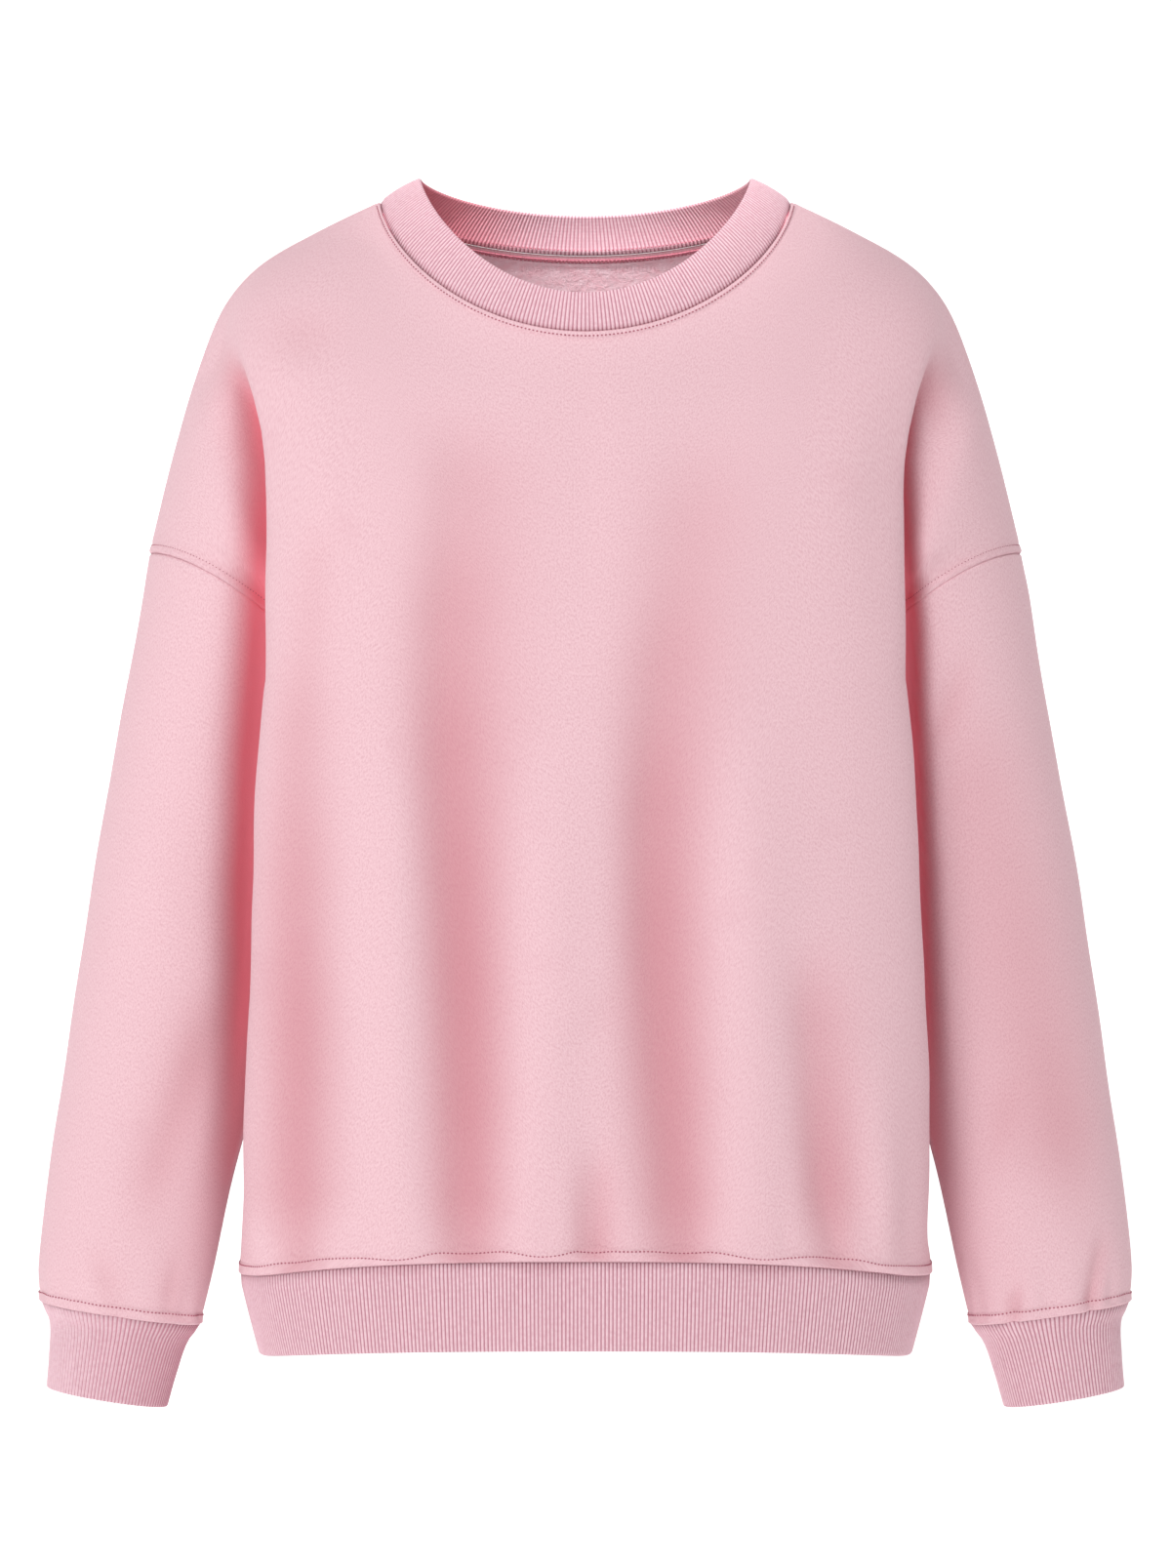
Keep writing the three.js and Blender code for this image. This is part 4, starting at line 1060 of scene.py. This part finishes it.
# Colours of the dyed cloth and threads, and the tones of painted shade: the fleece's fold and gap tones, the
# rib grooves and part of the sewing thread's colour.
class DyeAndPaintedShadeColours(bpy.types.PropertyGroup):
    face: colour_property("Fleece face", "Colour of the jersey face", "#ecc6cd")
    face_deep: colour_property("Fleece mottle", "Deeper tone in the jersey face", "#deaeb8")
    # Painted shade: the tone laid on the jersey face down in its folds.
    face_painted_fold_shade: colour_property("Fleece folds", "Tone of the jersey face down in its folds", "#c4727d")
    # Painted shade: the warm deep rose laid on the jersey face in the tight gaps, standing in for shade and
    # light bounced between cloth.
    face_painted_gap_shade: colour_property("Fleece gaps", "Tone of the jersey face in its tight gaps", "#fa8796")
    nap: colour_property("Brushed back", "Colour of the brushed inside", "#fddde5")
    nap_deep: colour_property("Brushed back mottle", "Deeper tone between the tufts", "#f7c9d3")
    rib: colour_property("Rib ridge", "Colour of the rib knit's ridges", "#ebc8d1")
    rib_deep: colour_property("Rib mottle", "Deeper tone in the rib knit", "#e2b8c3")
    # Painted shade: the darker colour laid down in the grooves between the ribs.
    rib_groove: colour_property("Rib groove", "Colour down in the grooves", "#c18392")
    # Partly painted shade: the sewing thread is coloured deeper than its dye, for the shade where each stitch
    # sinks into the fleece.
    thread: colour_property("Thread", "Colour of the sewing thread", "#b36676")
    looper: colour_property("Looper thread", "Colour of the overlock's loops inside the neck", "#e891a4")
    thread_deep: colour_property("Thread twist", "Deeper tone between the plies of the thread", "#9c5162")


class StudioSizes(bpy.types.PropertyGroup):
    camera_distance: length_property("Camera distance", "Distance from the garment's middle", 4.2)
    frame_height: length_property("Frame height", "Height that the picture shows at the garment", 0.9453)
    eye_level: length_property("Eye level", "Height of the camera, from the neck points", -0.352)
    key_power: light_property("Key light", "Power of the soft key light in watts", 60.0)
    neck_power: light_property("Neck light", "Power of the narrow light into the neck in watts", 205.0)
    sky_strength: light_property("Surround", "Strength of the white surround", 0.38)
    floor_level: length_property("Floor level", "Height of the floor, from the neck points", -1.05)


def dress(piece, slot, *nodes):
    """Puts a piece on the garment's one body, in place of the solids it stands for."""
    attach(piece, "root")
    if nodes:
        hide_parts(*nodes)
    return piece


def cloth_area(outer, closed=False):
    """Area of a grid of points in square metres."""
    if closed:
        outer = np.concatenate([outer, outer[:, :1]], axis=1)
    a, b, c, d = outer[:-1, :-1], outer[1:, :-1], outer[1:, 1:], outer[:-1, 1:]
    halves = np.linalg.norm(np.cross(b - a, c - a), axis=-1) + np.linalg.norm(np.cross(c - a, d - a), axis=-1)
    return halves.sum() / 2 * MM * MM


class SWEATSHIRT_OT_body_panels(bpy.types.Operator):
    """Front and back panels with their folds and the rolls beside their seams"""

    bl_idname = "sweatshirt.body_panels"
    bl_label = "Body panels"

    def execute(self, context):
        for name, cad, face in (("front_panel", "front", FRONT), ("back_panel", "back", BACK)):
            outer, normals, deep, _, _ = panel_grid(face)
            wall = knit_sizes().fleece_wall / MM
            piece = open_wall(name, outer, normals, deep, wall, [jersey_face(), brushed_back()])
            dress(piece, "fleece_jersey", cad)
            width = walked(outer, 1)[:, -1].max() * MM
            length = walked(outer, 0)[-1].max() * MM
            cloth_area(outer)
        return {"FINISHED"}


class SWEATSHIRT_OT_sleeves(bpy.types.Operator):
    """Both sleeves, from the armhole seam to the cuff seam"""

    bl_idname = "sweatshirt.sleeves"
    bl_label = "Sleeves"

    def execute(self, context):
        for name, side in (("left", LEFT), ("right", RIGHT)):
            outer, normals, deep = sleeve_grid(side)
            inner = outer - normals * (knit_sizes().fleece_wall / MM)
            girth = walked(np.concatenate([outer, outer[:, :1]], axis=1), 1)[:, -1].max()
            cloth = [jersey_face(), brushed_back()]
            piece = closed_wall(f"sleeve_{name}_cloth", outer, inner, cloth, girth, deep)
            dress(piece, "fleece_jersey", f"sleeve_{name}")
            length = walked(outer, 0)[-1].max()
            cloth_area(outer, True)
        return {"FINISHED"}


def finish_rib(name, cad, made, pitch_name, ribs, gap_shade_share=0.0):
    """Makes a rib strip's piece from what rib_tube gives."""
    outer, inner, girth = made
    height = walked(outer, 0)[-1].max()
    material = rib_knit(round(girth / ribs, 4), pitch_name)
    piece = closed_wall(name, outer, inner, [material], girth, gap_shade_share=gap_shade_share)
    dress(piece, "rib_knit", cad)


def neck_up(turn):
    return unit(collar_edge(turn) - neck_seam(turn))


def neck_facing(turn):
    along = neck_seam(turn + 0.01) - neck_seam(turn - 0.01)
    return unit(np.cross(along, neck_up(turn)))


class SWEATSHIRT_OT_collar(bpy.types.Operator):
    """Crew collar: a rib strip folded double, standing up from the neck seam"""

    bl_idname = "sweatshirt.collar"
    bl_label = "Collar"

    def execute(self, context):
        def place(turn, along):
            start, end = neck_seam(turn), collar_edge(turn)
            swell = 4 * COLLAR_SWELL * along * (1 - along)
            return start + (end - start) * along[..., None] + neck_facing(turn) * swell[..., None]

        made = rib_tube(place, lambda turn, along: neck_facing(turn), COLLAR_RIBS, 16)
        # The inside of the collar takes painted gap shade.
        finish_rib("collar_rib", "collar", made, "collar", COLLAR_RIBS, gap_shade_share=0.75)
        return {"FINISHED"}


def hem_ring():
    """The hem seam once round, from the front's centre to the wearer's left."""
    share = np.linspace(0, 1, 241)
    quarters = []
    for face, side, order in ((FRONT, 1, 1), (BACK, 1, -1), (BACK, -1, 1), (FRONT, -1, -1)):
        quarter = lower_points(share, np.full_like(share, 2.0), face) * (side, 1, 1)
        rise = HEM_BOTTOM_RISE * np.cos(even_turn(HEM_SEAM_Z, share, face)) ** 2 * (face == FRONT)
        quarters.append(np.concatenate([quarter, rise[:, None]], axis=-1)[::order][:-1])
    ring = np.concatenate(quarters)
    return np.concatenate([ring, ring[:1]])


class SWEATSHIRT_OT_hem_band(bpy.types.Operator):
    """Hem band: a wide rib strip folded double that draws the body in"""

    bl_idname = "sweatshirt.hem_band"
    bl_label = "Hem band"

    def execute(self, context):
        ring = hem_ring()
        knots = np.linspace(0, 2 * math.pi, len(ring))
        spread = np.gradient(ring[:, :2], axis=0)
        spread[0] = spread[-1] = ring[1, :2] - ring[-2, :2]
        out = unit(np.stack([spread[:, 1], -spread[:, 0], np.zeros(len(ring))], axis=-1))

        def at(values, turn):
            return np.interp(turn, knots, values)

        def facing(turn, along):
            return unit(points(at(out[:, 0], turn), at(out[:, 1], turn), 0))

        def place(turn, along):
            seam = points(*(at(ring[:, k], turn) for k in range(3)))
            bottom = HEM_BOTTOM_Z + at(ring[:, 3], turn)
            dent = crease_depth(seam[..., 0], along * HEM_BAND_HEIGHT, HEM_DENT) * (seam[..., 1] < 0)
            drawn = HEM_BAND_INSET * along ** 1.1 + HEM_DENT_DEPTH * dent
            seam[..., 2] += (bottom - seam[..., 2]) * along
            return seam - facing(turn, along) * drawn[..., None]

        made = rib_tube(place, facing, HEM_RIBS, 14)
        finish_rib("hem_rib", "hem_band", made, "hem band", HEM_RIBS)
        return {"FINISHED"}


def cuff_place(turn, along):
    """The cuff's outer face. It goes round behind first, as seen from outside."""
    ring = {key: between(CUFF, "along", key, along) for key in CUFF if key != "along"}
    return arm_ring(ring, -turn)


def cuff_facing(turn, along):
    step = 0.004
    around = cuff_place(turn + step, along) - cuff_place(turn - step, along)
    down = cuff_place(turn, np.minimum(along + step, 1)) - cuff_place(turn, np.maximum(along - step, 0))
    return unit(np.cross(down, around))


class SWEATSHIRT_OT_cuffs(bpy.types.Operator):
    """Both cuffs: rib strips folded double that gather the sleeves"""

    bl_idname = "sweatshirt.cuffs"
    bl_label = "Cuffs"

    def execute(self, context):
        for name, side in (("left", LEFT), ("right", RIGHT)):
            outer, inner, girth = rib_tube(cuff_place, cuff_facing, CUFF_RIBS, 22)
            if side == RIGHT:
                outer, inner = (grid[:, ::-1] * (-1, 1, 1) for grid in (outer, inner))
            finish_rib(f"cuff_{name}_rib", f"cuff_{name}", (outer, inner, girth), "cuffs", CUFF_RIBS)
        return {"FINISHED"}


def add_threads(name, parts, thread):
    """Adds rows of threads as one piece."""
    dress(new_object(name, *joined(parts), [thread]), "fleece_jersey")


class SWEATSHIRT_OT_topstitching(bpy.types.Operator):
    """Rows of topstitching beside the neck, hem, armhole and cuff seams"""

    bl_idname = "sweatshirt.topstitching"
    bl_label = "Topstitching"

    def execute(self, context):
        sewing = sewing_sizes()
        rows = {"neck": [], "hem": [], "armholes": [], "cuffs": []}

        def sew(name, grid, normals, distance, from_start=False, bulk=1.0):
            line = path_at(grid, normals, distance / MM, from_start)
            rows[name].append(stitches(*line, sewing, bulk))

        for face in (FRONT, BACK):
            outer, normals, _, share, down = panel_grid(face)
            neck = np.abs(share) < NECK_SHARE
            sew("neck", outer[:, neck], normals[:, neck], sewing.neck_row, True)
            sew("hem", outer, normals, sewing.hem_row)
            above = down < 0.985
            for from_start in (False, True):
                grids = (np.swapaxes(grid[above], 0, 1) for grid in (outer, normals))
                sew("armholes", *grids, sewing.armhole_row, from_start, 0.6)
        for side in (LEFT, RIGHT):
            outer, normals, _ = sleeve_grid(side)
            grids = (np.concatenate([grid, grid[:, :1]], axis=1) for grid in (outer, normals))
            sew("cuffs", *grids, sewing.cuff_row)
        for name, parts in rows.items():
            add_threads(f"topstitch_{name}", parts, sewing_thread())
        return {"FINISHED"}


def neck_inside(distance, depth):
    """A closed line on the inside of the panels, at a distance below the neck seam and a depth above the
    nap."""
    wall = knit_sizes().fleece_wall / MM
    line = []
    for face in (FRONT, BACK):
        outer, normals, _, share, _ = panel_grid(face)
        neck = np.abs(share) < NECK_SHARE
        place, out = path_at(outer[:, neck], normals[:, neck], distance)
        line.append(place - out * (wall + depth))
    line = np.concatenate(line)
    return np.concatenate([line, line[:1]])


class SWEATSHIRT_OT_neck_overlock(bpy.types.Operator):
    """Overlocked seam allowance inside the neck, with its chain of loops and a covered stitch row"""

    bl_idname = "sweatshirt.neck_overlock"
    bl_label = "Neck overlock"

    def execute(self, context):
        # The allowance's section: distance below the neck seam, and depth above the nap.
        section = ((0.2, -0.5), (0.2, 1.5), (1.2, 2.0), (3.4, 2.0), (5.2, 1.6), (6.0, 0.6), (6.0, -0.5))
        grid = np.stack([neck_inside(*place) for place in section])[::-1, :-1]
        ids = np.arange(grid.shape[0] * grid.shape[1]).reshape(grid.shape[:2])
        faces = quads(np.concatenate([ids, ids[:1]]), closed=True)
        # Painted shade: the warm gap tone is laid over the whole allowance.
        gap_shade_share = np.full((ids.size, 2), (0, 0.6))
        nap = [brushed_back()]
        allowance = new_object("neck_seam_allowance", grid.reshape(-1, 3), faces, nap, painted_shade_depths=gap_shade_share)
        dress(allowance, "fleece_jersey")
        # The overlock's loops run over the edge of the allowance.
        low = neck_inside(5.4, 1.8)
        run = walked(low, 0)
        loops = int(run[-1] / LOOP_PITCH)
        steps = np.linspace(0, 1, loops * POINTS_PER_LOOP + 1)
        lines = (neck_inside(0.8, 2.1), low, neck_inside(5.4, 2.3))
        top, bottom, proud = (places_at(line, run, steps * run[-1]) for line in lines)
        swing = (0.5 + 0.5 * np.sin(steps * loops * 2 * math.pi))[:, None]
        lean = (0.5 + 0.5 * np.cos(steps * loops * 2 * math.pi))[:, None]
        parts = [thread_tube(top + (bottom - top) * swing), thread_tube(bottom + (proud - bottom) * lean)]
        add_threads("neck_overlock_thread", parts, overlock_thread())
        turn = np.linspace(0, 2 * math.pi, 721)
        out = neck_facing(turn)
        covered = neck_seam(turn) - out * (knit_sizes().rib_wall / MM + 0.1) + neck_up(turn) * COVERED_ROW
        add_threads("topstitch_neck_inside", [stitches(covered, -out, sewing_sizes())], overlock_thread())
        return {"FINISHED"}


def aimed_light(name, location, target, size, power, kind="AREA"):
    """A soft light of a size in metres, turned towards a place."""
    data = bpy.data.lights.new(name, kind)
    data.energy = power
    if kind == "AREA":
        data.shape, data.size = "DISK", size
    else:
        data.shadow_soft_size = size
    light = bpy.data.objects.new(name, data)
    light.location = location
    way = np.array(target) - np.array(location)
    yaw = math.atan2(way[1], way[0]) - math.pi / 2
    pitch = math.atan2(way[2], math.hypot(way[0], way[1])) + math.pi / 2
    light.rotation_euler = (pitch, 0, yaw)
    bpy.context.scene.collection.objects.link(light)
    return light


class SWEATSHIRT_OT_studio(bpy.types.Operator):
    """Pale paper sweep, soft lights and the camera"""

    bl_idname = "sweatshirt.studio"
    bl_label = "Studio"

    def execute(self, context):
        scene = context.scene
        studio = scene.sweatshirt_studio
        # The paper runs flat, turns up in a quarter circle and stands behind the garment.
        start, behind, radius, top, half_width = -6.5, 1.6, 0.9, 3.6, 5.0
        bend = np.linspace(0, math.pi / 2, 25)
        y = np.concatenate([[start], behind + radius * np.sin(bend), [behind + radius]])
        z = np.concatenate([[0], radius * (1 - np.cos(bend)), [top]]) + studio.floor_level
        grid = np.stack([points(side * half_width, y, z) for side in (1, -1)], axis=1)
        ids = np.arange(grid.shape[0] * 2).reshape(-1, 2)
        paper = new_object("paper_sweep", grid.reshape(-1, 3) / MM, quads(ids), [seamless_paper()])
        world = bpy.data.worlds.new("white surround")
        world.use_nodes = True
        background = world.node_tree.nodes["Background"]
        background.inputs["Color"].default_value = linear("#ffffff")
        background.inputs["Strength"].default_value = studio.sky_strength
        scene.world = world
        middle = (0, 0, studio.eye_level)
        aimed_light("key light", (-1.7, -3.8, 1.5), middle, 2.4, studio.key_power)
        aimed_light("side light", (-3.2, -0.9, 0.5), middle, 1.8, studio.key_power * 0.25)
        aimed_light("top light", (0.4, -1.6, 2.3), (0, 0, 0), 1.4, studio.key_power * 0.4)
        into_neck = (0.02, 0.08, -0.05)
        neck = aimed_light("neck light", (-0.2, -1.1, 1.65), into_neck, 0.08, studio.neck_power, "SPOT")
        neck.data.spot_size = math.radians(7.4)
        neck.data.spot_blend = 1.0
        data = bpy.data.cameras.new("camera")
        camera = bpy.data.objects.new("camera", data)
        camera.location = (0, -studio.camera_distance, studio.eye_level)
        camera.rotation_euler = (math.pi / 2, 0, 0)
        data.sensor_width = 36.0
        data.lens = data.sensor_width * studio.camera_distance / studio.frame_height
        data.clip_end = 60.0
        scene.collection.objects.link(camera)
        scene.camera = camera
        scene.view_settings.view_transform = "Standard"
        return {"FINISHED"}


class SWEATSHIRT_PT_pieces(bpy.types.Panel):
    """Sizes, colours and pieces of the sweatshirt"""

    bl_idname = "SWEATSHIRT_PT_pieces"
    bl_label = "Sweatshirt"
    bl_space_type = "VIEW_3D"
    bl_region_type = "UI"
    bl_category = "Sweatshirt"

    def draw(self, context):
        for group in GROUPS:
            box = self.layout.box()
            settings = getattr(context.scene, group)
            for name in GROUPS[group].__annotations__:
                box.prop(settings, name)
        for operator in OPERATORS:
            self.layout.operator(operator.bl_idname)


GROUPS = {
    "sweatshirt_knit": KnitSizes,
    "sweatshirt_sewing": SewingSizes,
    "sweatshirt_dyes": DyeAndPaintedShadeColours,
    "sweatshirt_studio": StudioSizes,
}
OPERATORS = (
    SWEATSHIRT_OT_studio,
    SWEATSHIRT_OT_body_panels,
    SWEATSHIRT_OT_sleeves,
    SWEATSHIRT_OT_collar,
    SWEATSHIRT_OT_hem_band,
    SWEATSHIRT_OT_cuffs,
    SWEATSHIRT_OT_topstitching,
    SWEATSHIRT_OT_neck_overlock,
)


def register():
    for group in GROUPS.values():
        bpy.utils.register_class(group)
    for name, group in GROUPS.items():
        setattr(bpy.types.Scene, name, bpy.props.PointerProperty(type=group))
    for part in (*OPERATORS, SWEATSHIRT_PT_pieces):
        bpy.utils.register_class(part)


def unregister():
    for part in (SWEATSHIRT_PT_pieces, *reversed(OPERATORS)):
        bpy.utils.unregister_class(part)
    for name in GROUPS:
        delattr(bpy.types.Scene, name)
    for group in GROUPS.values():
        bpy.utils.unregister_class(group)


def main():
    register()
    bpy.ops.sweatshirt.studio()
    bpy.ops.sweatshirt.body_panels()
    bpy.ops.sweatshirt.sleeves()
    bpy.ops.sweatshirt.collar()
    bpy.ops.sweatshirt.hem_band()
    bpy.ops.sweatshirt.cuffs()
    bpy.ops.sweatshirt.topstitching()
    bpy.ops.sweatshirt.neck_overlock()


if __name__ == "__main__":
    main()
